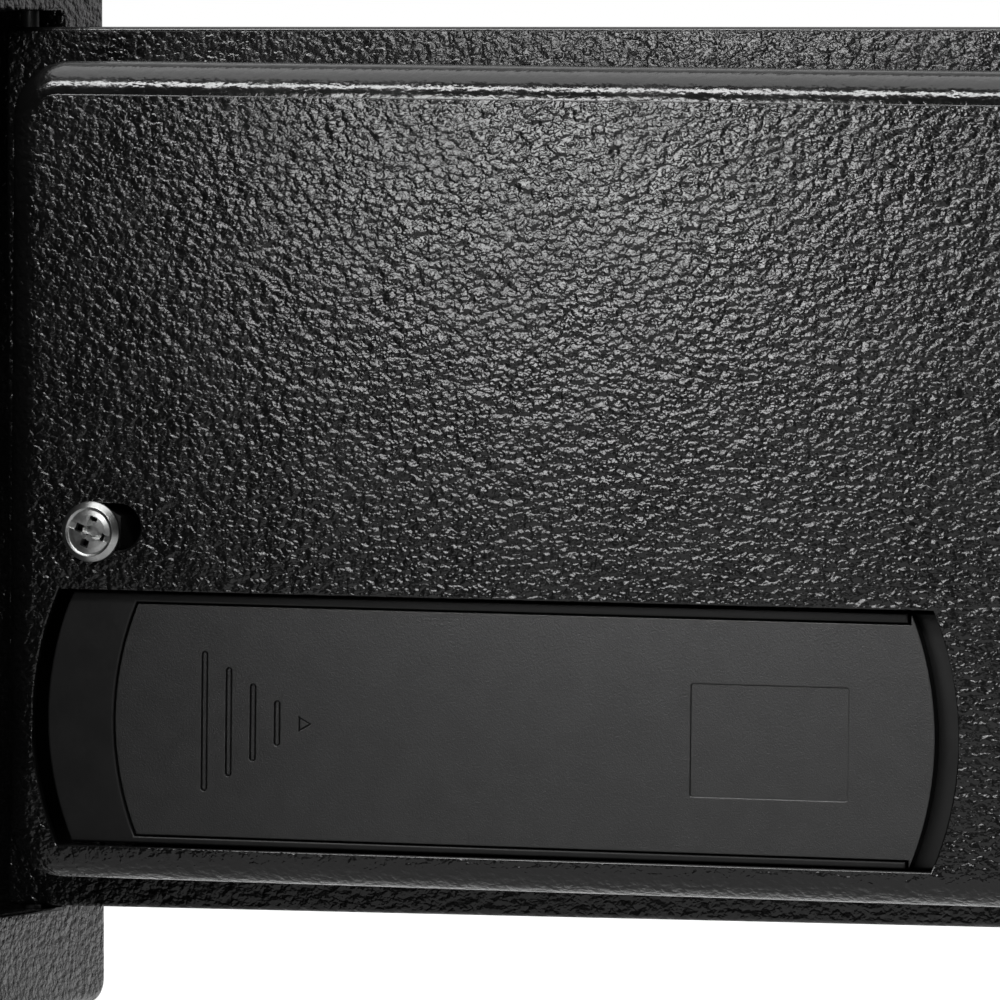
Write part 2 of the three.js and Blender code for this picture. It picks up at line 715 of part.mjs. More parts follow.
/** A rounded block on the outside of the door, its outer edges eased. */
function fasciaSolid() {
  const ease = fascia.ease;
  const shape = roundedRectangle(
    [fascia.left + ease, fascia.right - ease],
    [fascia.bottom + ease, fascia.top - ease],
    fascia.corner - ease,
  );
  const geometry = new THREE.ExtrudeGeometry(shape, {
    depth: 2 * fascia.height,
    bevelEnabled: true,
    bevelThickness: ease,
    bevelSize: ease,
    bevelSegments: 2,
    curveSegments: 4,
  });
  geometry.translate(0, 0, fasciaFace + ease);
  const rounded = solid(geometry).subtract(block([-far, far], [-far, far], [fasciaBack, far]));
  const cavity = slab(
    roundedRectangle(
      [fascia.left + fascia.wall, fascia.right - fascia.wall],
      [fascia.bottom + fascia.wall, fascia.top - fascia.wall],
      fascia.corner - fascia.wall,
    ),
    fasciaFace + fascia.wall,
    far,
    3,
  );
  const through = [fasciaFace - past, fasciaBack];
  const keyHoles = keyPad.columns.flatMap((u) =>
    keyPad.rows.map((w) => {
      const reachU = keyPad.width / 2 + runningGap;
      const reachW = keyPad.height / 2 + runningGap;
      return block([u - reachU, u + reachU], [w - reachW, w + reachW], through);
    }),
  );
  const lampHoles = keyPad.columns.map((u) => rod(u, lampRow, 2 * lamp.radius + 2 * seatGap, ...through, 12));
  const port = rod(override.u, override.w, cap.port, ...through, 28);
  return cut(rounded, cavity, ...keyHoles, ...lampHoles, port);
}

/** A key, with a rim that holds it behind the fascia. */
function keySolid(u, w) {
  const halfU = keyPad.width / 2;
  const halfW = keyPad.height / 2;
  const rimBack = fasciaFace + fascia.wall + runningGap;
  const outer = fasciaFace - keyPad.proud;
  const button = formedKey([u - halfU, u + halfU], [w - halfW, w + halfW], outer, rimBack + keyPad.rim);
  const rimU = [u - halfU - keyPad.rim, u + halfU + keyPad.rim];
  const rimW = [w - halfW - keyPad.rim, w + halfW + keyPad.rim];
  return joined(button, block(rimU, rimW, [rimBack, rimBack + keyPad.rim]));
}

/** A key's cap: a small block whose outer edges are chamfered. */
function formedKey([x0, x1], [y0, y1], outer, inner) {
  const edge = keyPad.edge;
  const shape = roundedRectangle([x0 + edge, x1 - edge], [y0 + edge, y1 - edge], keyPad.corner);
  const geometry = new THREE.ExtrudeGeometry(shape, {
    depth: inner - outer,
    bevelEnabled: true,
    bevelThickness: edge,
    bevelSize: edge,
    bevelSegments: 1,
    curveSegments: 2,
  });
  geometry.translate(0, 0, outer + edge);
  return solid(geometry).subtract(block([-far, far], [-far, far], [inner, far]));
}

/** A lamp's lens, with a rim behind the fascia. */
function lampSolid(u) {
  const { radius, rim, proud, depth } = lamp;
  const profile = [
    [0, fasciaFace - proud],
    [0.73 * radius, fasciaFace - 0.77 * proud],
    [radius, fasciaFace - 0.23 * proud],
    [radius, fasciaFace + fascia.wall + seatGap],
    [rim, fasciaFace + fascia.wall + seatGap],
    [rim, fasciaFace + depth],
    [0, fasciaFace + depth],
  ];
  return turned(u, lampRow, profile, 14);
}

/** The cap that covers the override lock. */
function keyholeCap() {
  const face = fasciaFace;
  const profile = [
    [0, face - cap.height],
    [cap.radius - cap.edge, face - cap.height],
    [cap.radius, face - cap.height + cap.edge],
    [cap.radius, face - touchGap],
    [cap.plugRadius, face - touchGap],
    [cap.plugRadius, face + cap.plugDepth],
    [0, face + cap.plugDepth],
  ];
  return turned(override.u, override.w, profile, 24);
}

function addKeypad(parent) {
  add(parent, "keypad_fascia", fasciaSolid(), plastic);
  const names = [["1", "4", "7", "star"], ["2", "5", "8", "0"], ["3", "6", "9", "hash"]];
  for (const [column, u] of keyPad.columns.entries()) {
    for (const [row, w] of keyPad.rows.entries()) {
      add(parent, `key_${names[column][row]}`, keySolid(u, w), keyPlastic);
    }
  }
  const m = membrane;
  const sheet = block([m.left, m.right], [m.bottom, m.top], [fasciaBack - m.thickness, fasciaBack]);
  add(parent, "keypad_membrane", sheet, rubber);
  const lampColours = { red: redPlastic, amber: amberPlastic, green: greenPlastic };
  for (const [index, [colour, material]] of Object.entries(lampColours).entries()) {
    add(parent, `lamp_${colour}`, lampSolid(keyPad.columns[index]), material);
  }
  add(parent, "keyhole_cap", keyholeCap(), plastic);
}

// The circuit board inside, with its buzzer

const boardBack = board.standOff + touchGap;
const boardFront = boardBack + board.thickness;

function circuitBoard() {
  const plate = block([board.left, board.right], [board.bottom, board.top], [boardBack, boardFront]);
  const holes = studPlaces.map(({ u, w }) =>
    rod(u, w, stud.pinHole, boardBack - past, boardFront + past, 8),
  );
  const foot = boardFront - touchGap;
  const packages = [chip, relay, connector].map(({ u, w, height }) =>
    block(u, w, [foot, boardFront + height]),
  );
  const cans = capacitor.rows.map((w) =>
    rod(capacitor.u, w, capacitor.diameter, foot, boardFront + capacitor.height, 14),
  );
  return joined(cut(plate, ...holes), ...packages, ...cans);
}

function buzzerSolid() {
  const { u, w, diameter, height, mouth } = buzzer;
  const foot = boardFront + touchGap;
  const can = rod(u, w, diameter, foot, foot + height, 24);
  return can.subtract(rod(u, w, mouth, foot + height / 2, foot + height + past, 10));
}

// The knob, its spindle and crank

/** A fluted knob with a skirt, standing a little off the door. */
function knobSolid() {
  const r = knob.radius;
  const base = -door.thickness - knob.standOff;
  const face = base - knob.height;
  const profile = [
    [0, face],
    [knob.faceRadius, face],
    [knob.shoulderRadius, face + knob.crown],
    [knob.waistRadius, base - knob.skirt],
    [r, base - 0.68 * knob.skirt],
    [r, base],
    [0, base],
  ];
  const blank = turned(knobAxis.u, knobAxis.w, profile, 24);
  const flutes = Array.from({ length: knob.flutes }, (_, index) => {
    const turn = (index * 2 * Math.PI) / knob.flutes;
    const u = knobAxis.u + r * Math.cos(turn);
    const w = knobAxis.w + r * Math.sin(turn);
    return rod(u, w, knob.fluteDiameter, face - past, base - 1.1 * knob.skirt, 8);
  });
  const bore = rod(knobAxis.u, knobAxis.w, knob.boreDiameter, base - knob.boreDepth, base + past, 20);
  return cut(blank, bore, ...flutes);
}

/** The arm on the spindle, whose pin drives the carriage. */
function crankArm() {
  const { back, front } = crank;
  const hub = rod(knobAxis.u, knobAxis.w, crank.eye, back, front);
  const end = rod(restPin.u, restPin.w, crank.width, back, front, 16);
  const along = new THREE.BoxGeometry(crank.width, crank.radius, front - back);
  along.rotateZ(THREE.MathUtils.degToRad(-restAngle));
  along.translate((knobAxis.u + restPin.u) / 2, (knobAxis.w + restPin.w) / 2, (back + front) / 2);
  const pin = rod(restPin.u, restPin.w, crank.pinDiameter, front - past / 2, tongue.front + past, 16);
  const hole = rod(knobAxis.u, knobAxis.w, spindle.diameter + runningGap, 0, far);
  return cut(joined(hub, end, solid(along), pin), hole);
}

/** The flanged bush that the spindle turns in. */
function spindleBush() {
  const bore = bush.bore / 2;
  const stem = bush.stem / 2;
  const flange = bush.flange / 2;
  const profile = [
    [bore, -door.thickness],
    [stem, -door.thickness],
    [stem, seatGap],
    [flange, seatGap],
    [flange, bush.flangeHeight],
    [bore, bush.flangeHeight],
    [bore, -door.thickness],
  ];
  return turned(knobAxis.u, knobAxis.w, profile, 18);
}

function addKnob(parent) {
  const { u, w } = knobAxis;
  const shaft = rod(u, w, spindle.diameter, -door.thickness - spindle.outside, spindle.inside);
  add(parent, "knob", knobSolid(), plastic);
  add(parent, "knob_spindle", shaft, steel);
  add(parent, "crank_arm", crankArm(), zinc);
  add(parent, "spindle_bush", spindleBush(), brass);
}

// The bolts, the carriage that joins them and their guide

function boltSolid(w) {
  const r = bolt.diameter / 2;
  const rivet = bolt.rivetDiameter / 2;
  const profile = [
    [0, bolt.rear - bolt.rivetLength],
    [rivet, bolt.rear - bolt.rivetLength],
    [rivet, bolt.rear],
    [r, bolt.rear],
    [r, bolt.tip - bolt.chamfer],
    [r - bolt.chamfer, bolt.tip],
    [0, bolt.tip],
  ];
  const points = profile.map(([radius, z]) => new THREE.Vector2(radius, z));
  const geometry = new THREE.LatheGeometry(points, 20);
  geometry.rotateZ(-Math.PI / 2);
  geometry.translate(0, w, bolt.height);
  return solid(geometry);
}

/** The web that joins both bolts, with a tongue that the crank's pin and the plunger work in. */
function carriageSolid() {
  const front = bolt.rear - touchGap;
  const back = front - carriage.sheet;
  const web = block([back, front], [carriage.bottom, carriage.top], [carriage.back, carriage.front]);
  const plateU = [tongue.left, back + carriage.sheet / 2];
  const plate = block(plateU, [tongue.bottom, tongue.top], [tongue.back, tongue.front]);
  const holeDiameter = bolt.rivetDiameter + 2 * seatGap;
  const rivetHoles = [bolt.lower, bolt.upper].map((w) => boreAlongU(front, w, holeDiameter));
  const slotHalf = crank.pinDiameter / 2 + crankSlot.sideGap;
  const slotTop = knobAxis.w + crank.radius + crank.pinDiameter / 2 + crankSlot.endGap;
  const slotBottom = restPin.w - crank.pinDiameter / 2 - crankSlot.endGap;
  const slot = block([restPin.u - slotHalf, restPin.u + slotHalf], [slotBottom, slotTop], [0, far]);
  const notchHalf = plunger.notchWidth / 2;
  const notches = [plunger.u, plunger.u - boltStroke].map((u) =>
    block([u - notchHalf, u + notchHalf], [tongue.top - plunger.notchDepth, tongue.top + past], [0, far]),
  );
  return cut(joined(web, plate), ...rivetHoles, slot, ...notches);
}

/** The angle that guides both bolts. */
function boltBracket() {
  const { left, right, bottom, top, sheet, front, halfRise } = bracket;
  const foot = block([left, right], [bottom, top], [seatGap, sheet]);
  const rises = [bolt.lower, bolt.upper].map((w) =>
    block([left, left + sheet], [w - halfRise, w + halfRise], [sheet / 2, front]),
  );
  const holeDiameter = bolt.diameter + 2 * runningGap;
  const holes = [bolt.lower, bolt.upper].map((w) => boreAlongU(left + sheet / 2, w, holeDiameter));
  return cut(joined(foot, ...rises), ...holes);
}

function addBolts(parent) {
  add(parent, "bolt_carriage", carriageSolid(), zinc);
  add(parent, "bolt_lower", boltSolid(bolt.lower), chrome);
  add(parent, "bolt_upper", boltSolid(bolt.upper), chrome);
  add(parent, "bolt_bracket", boltBracket(), zinc);
}

// The solenoid, whose plunger drops into the carriage's notches

/** A piece turned about a line along w through the plunger's axis; pairs of [radius, w]. */
function turnedAlongPlunger(profile, sides = 14) {
  const points = profile.map(([radius, w]) => new THREE.Vector2(radius, w));
  const geometry = new THREE.LatheGeometry(points, sides);
  geometry.translate(plunger.u, 0, plunger.n);
  return solid(geometry);
}

function solenoidFrame() {
  const s = solenoid;
  const outside = block([s.left, s.right], [s.bottom, s.top], [s.back, s.front]);
  const hollow = block(
    [s.left + s.sheet, s.right - s.sheet],
    [s.bottom + s.sheet, s.top - s.sheet],
    [s.back - past, s.front + past],
  );
  const tabs = [s.left, s.right - s.sheet].map((u) =>
    block([u, u + s.sheet], [s.bottom + s.tabInset, s.top - s.tabInset], [seatGap, s.back + past]),
  );
  const [low, high] = [s.bottom - past, s.bottom + s.sheet + past];
  const passage = turnedAlongPlunger([
    [0, low],
    [plungerBore, low],
    [plungerBore, high],
    [0, high],
  ]);
  return cut(joined(cut(outside, hollow), ...tabs), passage);
}

function solenoidCoil() {
  const s = solenoid;
  const low = s.bottom + s.sheet + seatGap;
  const high = s.top - s.sheet - seatGap;
  const profile = [
    [plungerBore, low],
    [s.bobbinRadius, low],
    [s.bobbinRadius, low + s.flange],
    [s.windingRadius, low + s.flange],
    [s.windingRadius, high - s.flange],
    [s.bobbinRadius, high - s.flange],
    [s.bobbinRadius, high],
    [plungerBore, high],
    [plungerBore, low],
  ];
  return turnedAlongPlunger(profile, 16);
}

function plungerSolid() {
  const r = plunger.diameter / 2;
  const edge = plunger.chamfer;
  const end = solenoid.top - plunger.endInset;
  const profile = [
    [0, plunger.tip],
    [r - edge, plunger.tip],
    [r, plunger.tip + edge],
    [r, collar.bottom],
    [collar.diameter / 2, collar.bottom],
    [collar.diameter / 2, collar.top],
    [r, collar.top],
    [r, end],
    [0, end],
  ];
  return turnedAlongPlunger(profile);
}

function plungerSpring() {
  const low = collar.top + runningGap;
  const high = solenoid.bottom - runningGap;
  const inner = plungerBore;
  const outer = plungerBore + 1;
  return turnedAlongPlunger([[inner, low], [outer, low], [outer, high], [inner, high], [inner, low]], 12);
}

function addSolenoid(parent) {
  add(parent, "solenoid_frame", solenoidFrame(), zinc);
  add(parent, "solenoid_coil", solenoidCoil(), copper);
  add(parent, "solenoid_plunger", plungerSolid(), steel);
  add(parent, "plunger_spring", plungerSpring(), steel);
}

// The key-operated override lock

const plugEnd = override.inner + 0.5;

function overrideBody() {
  const { outer, inner } = override;
  const r = override.diameter / 2;
  const bore = override.plugDiameter / 2 + runningGap;
  const profile = [
    [bore, outer],
    [r, outer],
    [r, inner],
    [bore, inner],
    [bore, outer],
  ];
  return turned(override.u, override.w, profile, 24);
}

function overridePlug() {
  const { u, w, outer, plugDiameter } = override;
  const barrel = rod(u, w, plugDiameter, outer + seatGap, plugEnd, 24);
  const halfWidth = keyway.width / 2;
  const halfHeight = keyway.height / 2;
  const slot = block([u - halfWidth, u + halfWidth], [w - halfHeight, w + halfHeight], [-far, keyway.end]);
  return barrel.subtract(slot);
}

/** The finger that lifts the plunger's collar, hanging down at rest. */
function overrideCam() {
  const z0 = plugEnd + touchGap;
  const z1 = z0 + cam.thickness;
  const eye = rod(override.u, override.w, cam.eye, z0, z1, 20);
  const fingerU = [override.u - cam.fingerWidth / 2, override.u + cam.fingerWidth / 2];
  const finger = block(fingerU, [override.w - cam.fingerLength, override.w], [z0, z1]);
  return joined(eye, finger);
}

function overrideNut() {
  const ring = rod(override.u, override.w, nut.width, seatGap, nut.front, 6);
  return ring.subtract(rod(override.u, override.w, override.diameter + 2 * seatGap, 0, far, 24));
}

function addOverrideLock(parent) {
  add(parent, "override_lock_body", overrideBody(), chrome);
  add(parent, "override_lock_nut", overrideNut(), zinc);
  add(parent, "override_plug", overridePlug(), brass);
  add(parent, "override_cam", overrideCam(), steel);
}

// The whole safe

function addDoor(parent) {
  const swing = new THREE.Group();
  const pinY = innerFaceY + hinge.behindInnerFace;
  swing.position.set(hingeEdgeX - hinge.fromEdge, pinY, 0);
  swing.rotation.z = THREE.MathUtils.degToRad(door.openAngle);
  parent.add(swing);

  const leaf = new THREE.Group();
  const u = new THREE.Vector3(-1, 0, 0);
  const w = new THREE.Vector3(0, 0, 1);
  const n = new THREE.Vector3(0, 1, 0);
  leaf.position.set(hinge.fromEdge, -hinge.behindInnerFace, doorBottomZ);
  leaf.quaternion.setFromRotationMatrix(new THREE.Matrix4().makeBasis(u, w, n));
  swing.add(leaf);

  add(leaf, "door_plate", doorPlate(), paint);
  add(leaf, "hinge_pin_top", hingePin(true), steel);
  add(leaf, "hinge_pin_bottom", hingePin(false), steel);
  addKeypad(leaf);
  add(leaf, "circuit_board", circuitBoard(), laminate);
  add(leaf, "buzzer", buzzerSolid(), plastic);
  addKnob(leaf);
  addBolts(leaf);
  addSolenoid(leaf);
  addOverrideLock(leaf);

  const coverGroup = turnedAbout(leaf, coverCentre, -cover.tilt);
  add(coverGroup, "door_cover", doorCover(), paint);
  for (const place of coverScrews) {
    add(coverGroup, `cover_screw_${place.name}`, coverScrew(place), zinc);
    add(coverGroup, `cover_post_${place.name}`, coverPost(place), zinc);
  }
  addBatteryBox(turnedAbout(coverGroup, boxCentre, -batteryBox.tilt));
}

const group = new THREE.Group();
addBody(group);
addDoor(group);

export default group;
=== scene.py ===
"""A small electronic safe with its door standing open, dressed over its CAD frame.

Sizes are in millimetres. A form is drawn in the frame of the piece that carries it, and its
mesh is turned to the row frame, in metres, when the piece is made.
"""

import json
import logging
import math
from dataclasses import dataclass, replace
from enum import Enum

import bmesh
import bpy
from mathutils import Matrix, Vector
from mathutils.geometry import delaunay_2d_cdt


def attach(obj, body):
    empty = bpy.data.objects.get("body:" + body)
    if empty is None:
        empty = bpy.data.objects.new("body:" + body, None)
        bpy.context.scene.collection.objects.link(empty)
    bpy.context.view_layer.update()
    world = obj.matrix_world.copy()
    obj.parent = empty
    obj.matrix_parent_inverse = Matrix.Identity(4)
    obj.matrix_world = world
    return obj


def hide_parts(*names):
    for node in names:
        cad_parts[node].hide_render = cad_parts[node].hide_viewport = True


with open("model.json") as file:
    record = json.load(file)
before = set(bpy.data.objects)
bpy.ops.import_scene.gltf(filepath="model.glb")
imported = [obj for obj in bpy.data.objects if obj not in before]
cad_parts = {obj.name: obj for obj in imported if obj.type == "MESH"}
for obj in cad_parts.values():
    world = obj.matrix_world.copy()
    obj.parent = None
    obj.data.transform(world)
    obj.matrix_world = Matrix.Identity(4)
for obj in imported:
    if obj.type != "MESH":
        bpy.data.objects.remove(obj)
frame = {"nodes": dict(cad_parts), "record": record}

LOG = logging.getLogger("safe")
MM = 0.001
Loop = list[tuple[float, float]]
Profile = list[tuple[float, float]]
Socket = bpy.types.NodeSocket
Tree = bpy.types.NodeTree
NODE_BODY = {
    node: body
    for body, nodes in frame["record"]["behaviour"]["bodies"].items()
    for node in nodes
}


# Places: the local frames that forms are drawn in


def axes(origin: tuple, across: tuple, up: tuple, out: tuple) -> Matrix:
    """Build the matrix of a local frame.

    Args:
        origin: where the local origin is, in the row frame, in mm.
        across, up, out: the local x, y and z directions.

    Returns:
        The matrix from local mm to row mm.
    """
    columns = Matrix((across, up, out)).transposed().to_4x4()
    return Matrix.Translation(origin) @ columns


def turn_about(x: float, y: float, degrees: float) -> Matrix:
    """Turn about a local line along z through x, y."""
    spin = Matrix.Rotation(math.radians(degrees), 4, "Z")
    return Matrix.Translation((x, y, 0)) @ spin @ Matrix.Translation((-x, -y, 0))


class Place:
    """The frames of the safe's groups, each from local mm to row mm."""

    OPEN_ANGLE = 97.49
    PIN = (95.9, -81.8)
    BODY = axes((0, 0, 0), (1, 0, 0), (0, 0, 1), (0, -1, 0))
    SHUT_DOOR = axes((99.4, -80.0, 16.5), (-1, 0, 0), (0, 0, 1), (0, 1, 0))
    DOOR = turn_about(*PIN, OPEN_ANGLE) @ SHUT_DOOR
    COVER = DOOR @ turn_about(100, 68.5, -0.55)
    BATTERY = COVER @ turn_about(92.3, 30.75, -0.115)


# Flat outlines


def arc(x: float, y: float, radius: float, start: float, end: float, steps: int) -> Loop:
    """Points along an arc, angles in degrees, both ends included."""
    angles = [math.radians(start + (end - start) * i / steps) for i in range(steps + 1)]
    return [(x + radius * math.cos(a), y + radius * math.sin(a)) for a in angles]


def circle(x: float, y: float, diameter: float, steps: int = 32) -> Loop:
    """A round outline."""
    return arc(x, y, diameter / 2, 0, 360, steps)[:-1]


def rounded(left: float, right: float, low: float, high: float, radius: float, steps: int = 6) -> Loop:
    """A rectangle with rounded corners, counter-clockwise."""
    return [
        *arc(right - radius, low + radius, radius, -90, 0, steps),
        *arc(right - radius, high - radius, radius, 0, 90, steps),
        *arc(left + radius, high - radius, radius, 90, 180, steps),
        *arc(left + radius, low + radius, radius, 180, 270, steps),
    ]


def pad(x: float, y: float, size: tuple[float, float], radius: float, steps: int) -> Loop:
    """A rectangle with rounded corners about a point."""
    half, rise = size[0] / 2, size[1] / 2
    return rounded(x - half, x + half, y - rise, y + rise, radius, steps)


def stadium(x: float, low: float, high: float, width: float) -> Loop:
    """An upright slot with round ends."""
    radius = width / 2
    return [*arc(x, high - radius, radius, 0, 180, 12), *arc(x, low + radius, radius, 180, 360, 12)]


def bow(x: float, low: float, high: float, bulge: float, side: int, steps: int = 18) -> Loop:
    """One bowed end of an outline, drawn counter-clockwise.

    Args:
        x: how far the end reaches.
        low, high: where it starts and ends.
        bulge: how far its middle stands out past its corners.
        side: 1 for the right end, -1 for the left.
        steps: how many edges the arc has.

    Returns:
        The arc's points, corners included.
    """
    half = (high - low) / 2
    radius = (half * half + bulge * bulge) / (2 * bulge)
    reach = math.degrees(math.asin(half / radius))
    middle = (low + high) / 2
    centre = x - side * radius
    start = -reach if side > 0 else 180 - reach
    return arc(centre, middle, radius, start, start + 2 * reach, steps)


def bowed(left: float, right: float, low: float, high: float, bulge: float) -> Loop:
    """An outline with straight long sides and bowed ends."""
    return [*bow(right, low, high, bulge, 1), *bow(left, low, high, bulge, -1)]


def offset(loop: Loop, distance: float) -> Loop:
    """Move a counter-clockwise outline inwards, or outwards where the distance is negative."""
    moved = []
    for i, here in enumerate(loop):
        before, after = Vector(loop[i - 1]), Vector(loop[(i + 1) % len(loop)])
        here = Vector(here)
        first = (here - before).normalized()
        second = (after - here).normalized()
        normals = Vector((-first.y - second.y, first.x + second.x))
        scale = distance / max(1 + first.dot(second), 0.05)
        moved.append(tuple(here + normals * scale))
    return moved


def inside(point: Vector, loop: Loop) -> bool:
    """Say whether a point lies inside an outline."""
    x, y = point
    hit = False
    for i, (x1, y1) in enumerate(loop):
        x0, y0 = loop[i - 1]
        if (y0 > y) != (y1 > y) and x < (x1 - x0) * (y - y0) / (y1 - y0) + x0:
            hit = not hit
    return hit


# Forms: closed meshes drawn from outlines, rings and profiles


@dataclass(frozen=True)
class Ease:
    """How an edge is rounded: its radius, and the facets of the rounding."""

    radius: float = 0.3
    steps: int = 3

    @property
    def support(self) -> float:
        """Give the width of the flat border that keeps the shading of the face even."""
        return min(0.12, 0.6 * self.radius)


SHARP = Ease(0.0, 1)
SLIGHT = Ease(0.2, 2)
SOFT = Ease(0.3, 2)


@dataclass(frozen=True)
class Hole:
    """A hole or recess in a flat face.

    Attributes:
        loop: its outline.
        ease: how its edge on the face is rounded.
        depth: how deep a recess is, or None for a hole right through.
        rib: where given, how far below the face a rib along the recess stands.
    """

    loop: Loop
    ease: Ease = SLIGHT
    depth: float | None = None
    rib: float | None = None


class Form:
    """A mesh being drawn in a local frame, in mm; paint picks the finish of what is added next."""

    def __init__(self) -> None:
        """Start with nothing drawn."""
        self.points: list[Vector] = []
        self.faces: list[tuple[int, ...]] = []
        self.paints: list[int] = []
        self.paint = 0

    def ring(self, points: list) -> list[int]:
        """Add points and return their numbers."""
        start = len(self.points)
        self.points.extend(Vector(p) for p in points)
        return list(range(start, len(self.points)))

    def face(self, corners: tuple[int, ...]) -> None:
        """Add one face."""
        self.faces.append(corners)
        self.paints.append(self.paint)

    def bridge(self, low: list[int], high: list[int], closed: bool = True) -> None:
        """Join two rings of equal count with quads that face out of a counter-clockwise ring."""
        count = len(low)
        for i in range(count if closed else count - 1):
            j = (i + 1) % count
            self.face((low[i], low[j], high[j], high[i]))

    def walls(self, loop: Loop, profile: Profile, hollow: bool = False) -> list[int]:
        """Draw the wall of an outline.

        Args:
            loop: the outline, counter-clockwise.
            profile: pairs of inset and height, from the bottom up.
            hollow: whether it is a hole's wall, which faces inwards.

        Returns:
            The points of the last ring.
        """
        side = -1 if hollow else 1
        last: list[int] = []
        for inset, height in profile:
            moved = offset(loop, side * inset) if inset else loop
            here = self.ring([(x, y, height) for x, y in moved])
            if last and hollow:
                self.bridge(here, last)
            elif last:
                self.bridge(last, here)
            last = here
        return last

    def fill(self, outer: list[int], holes: list[list[int]], up: bool = True) -> None:
        """Fill a flat region between an outer ring and the rings of its holes."""
        rings = [outer, *holes]
        numbers = [n for ring in rings for n in ring]
        flat = [self.points[n].xy for n in numbers]
        edges, start = [], 0
        for ring in rings:
            count = len(ring)
            edges.extend((start + i, start + (i + 1) % count) for i in range(count))
            start += count
        made = delaunay_2d_cdt(flat, edges, [], 0, 1e-7)
        points, triangles, origins = made[0], made[2], made[3]
        outline = [tuple(self.points[n].xy) for n in outer]
        gaps = [[tuple(self.points[n].xy) for n in ring] for ring in holes]
        for triangle in triangles:
            middle = sum((points[c] for c in triangle), Vector((0, 0))) / 3
            if not inside(middle, outline) or any(inside(middle, gap) for gap in gaps):
                continue
            corners = tuple(numbers[origins[c][0]] for c in triangle)
            self.face(corners if up else corners[::-1])

    def slab(
        self,
        outer: Loop,
        low: float,
        high: float,
        holes: tuple[Hole, ...] = (),
        top: Ease = Ease(),
        bottom: Ease = SHARP,
    ) -> None:
        """Draw a plate with eased edges, with holes right through and recesses in its top.

        Args:
            outer: its outline, counter-clockwise.
            low, high: its two levels.
            holes: its holes and recesses.
            top, bottom: how the outline's edges are rounded.
        """
        floors, ceilings = [], []
        for hole in (None, *holes):
            loop = hole.loop if hole else outer
            above = hole.ease if hole else top
            below = SHARP if hole else bottom
            if hole and hole.depth is not None:
                ceilings.append(self.recess(hole, high))
                continue
            profile = [*reversed(eased(low, below, -1)), *eased(high, above, 1)]
            first = len(self.points)
            last = self.walls(loop, profile, hollow=hole is not None)
            floors.append(list(range(first, first + len(loop))))
            ceilings.append(last)
        self.fill(ceilings[0], ceilings[1:])
        self.fill(floors[0], floors[1:], up=False)

    def recess(self, hole: Hole, level: float) -> list[int]:
        """Draw a recess with a floor, or with a rib along it, and return its ring in the face."""
        floor = level - hole.depth
        lean = hole.ease.radius * 0.6
        wall = [(-lean, floor), *eased(level, hole.ease, 1)]
        first = len(self.points)
        last = self.walls(hole.loop, wall, hollow=True)
        low = list(range(first, first + len(hole.loop)))
        if hole.rib is None:
            self.fill(low, [])
            return last
        crest = level - hole.rib
        inner = offset(hole.loop, lean)
        steps = [(0.1, floor), (0.16, crest - 0.08), (0.24, crest)]
        rib = self.walls(inner, steps)
        start = rib[0] - 2 * len(inner)
        self.bridge(low, list(range(start, start + len(inner))))
        self.fill(rib, [])
        return last

    def turned(
        self,
        profile: Profile,
        steps: int = 48,
        flutes: "Flutes | None" = None,
        paints: tuple[int, ...] = (),
    ) -> None:
        """Draw a piece turned about the local z line, from a closed run of radius and height pairs.

        Args:
            profile: the pairs, from the lowest middle point out and up to the highest.
            steps: how many facets go round.
            flutes: hollows along its side, if any.
            paints: the finish of the band that ends at each pair, if they differ.
        """
        last: list[int] = []
        for i, (radius, height) in enumerate(profile):
            self.paint = paints[i] if paints else self.paint
            here = self.ring(self.around(radius, height, steps, flutes))
            if len(last) == 1 and len(here) > 1:
                for k in range(steps):
                    self.face((last[0], here[(k + 1) % steps], here[k]))
            elif len(last) > 1 and len(here) == 1:
                for k in range(steps):
                    self.face((last[k], last[(k + 1) % steps], here[0]))
            elif len(last) > 1:
                self.bridge(last, here)
            last = here

    def turned_at(self, x: float, y: float, profile: Profile, steps: int) -> None:
        """Draw a turned piece about the z line through a point."""
        start = len(self.points)
        self.turned(profile, steps)
        self.move(Matrix.Translation((x, y, 0)), start)

    @staticmethod
    def around(radius: float, height: float, steps: int, flutes: "Flutes | None") -> list:
        """Give the points round the z line at a height, or the one point where the radius is nothing."""
        if radius < 1e-6:
            return [(0.0, 0.0, height)]
        angles = [math.tau * i / steps for i in range(steps)]
        radii = [radius - (flutes.depth_at(a, height) if flutes else 0.0) for a in angles]
        return [(r * math.cos(a), r * math.sin(a), height) for r, a in zip(radii, angles)]

    def tube(self, path: list[Vector], radius: float, sides: int = 10) -> None:
        """Draw a round wire along a path, its ends closed."""
        rings = []
        for i, here in enumerate(path):
            ahead = (path[min(i + 1, len(path) - 1)] - path[max(i - 1, 0)]).normalized()
            level = Vector((0, 0, 1)) if abs(ahead.z) < 0.9 else Vector((1, 0, 0))
            side = ahead.cross(level).normalized()
            rise = side.cross(ahead)
            spokes = (math.tau * k / sides for k in range(sides))
            edge = [here + (side * math.cos(a) + rise * math.sin(a)) * radius for a in spokes]
            rings.append(self.ring(edge))
        for low, high in zip(rings, rings[1:]):
            self.bridge(high, low)
        self.face(tuple(rings[0]))
        self.face(tuple(reversed(rings[-1])))

    def move(self, matrix: Matrix, start: int = 0) -> None:
        """Move the points from a number on."""
        for i in range(start, len(self.points)):
            self.points[i] = matrix @ self.points[i]

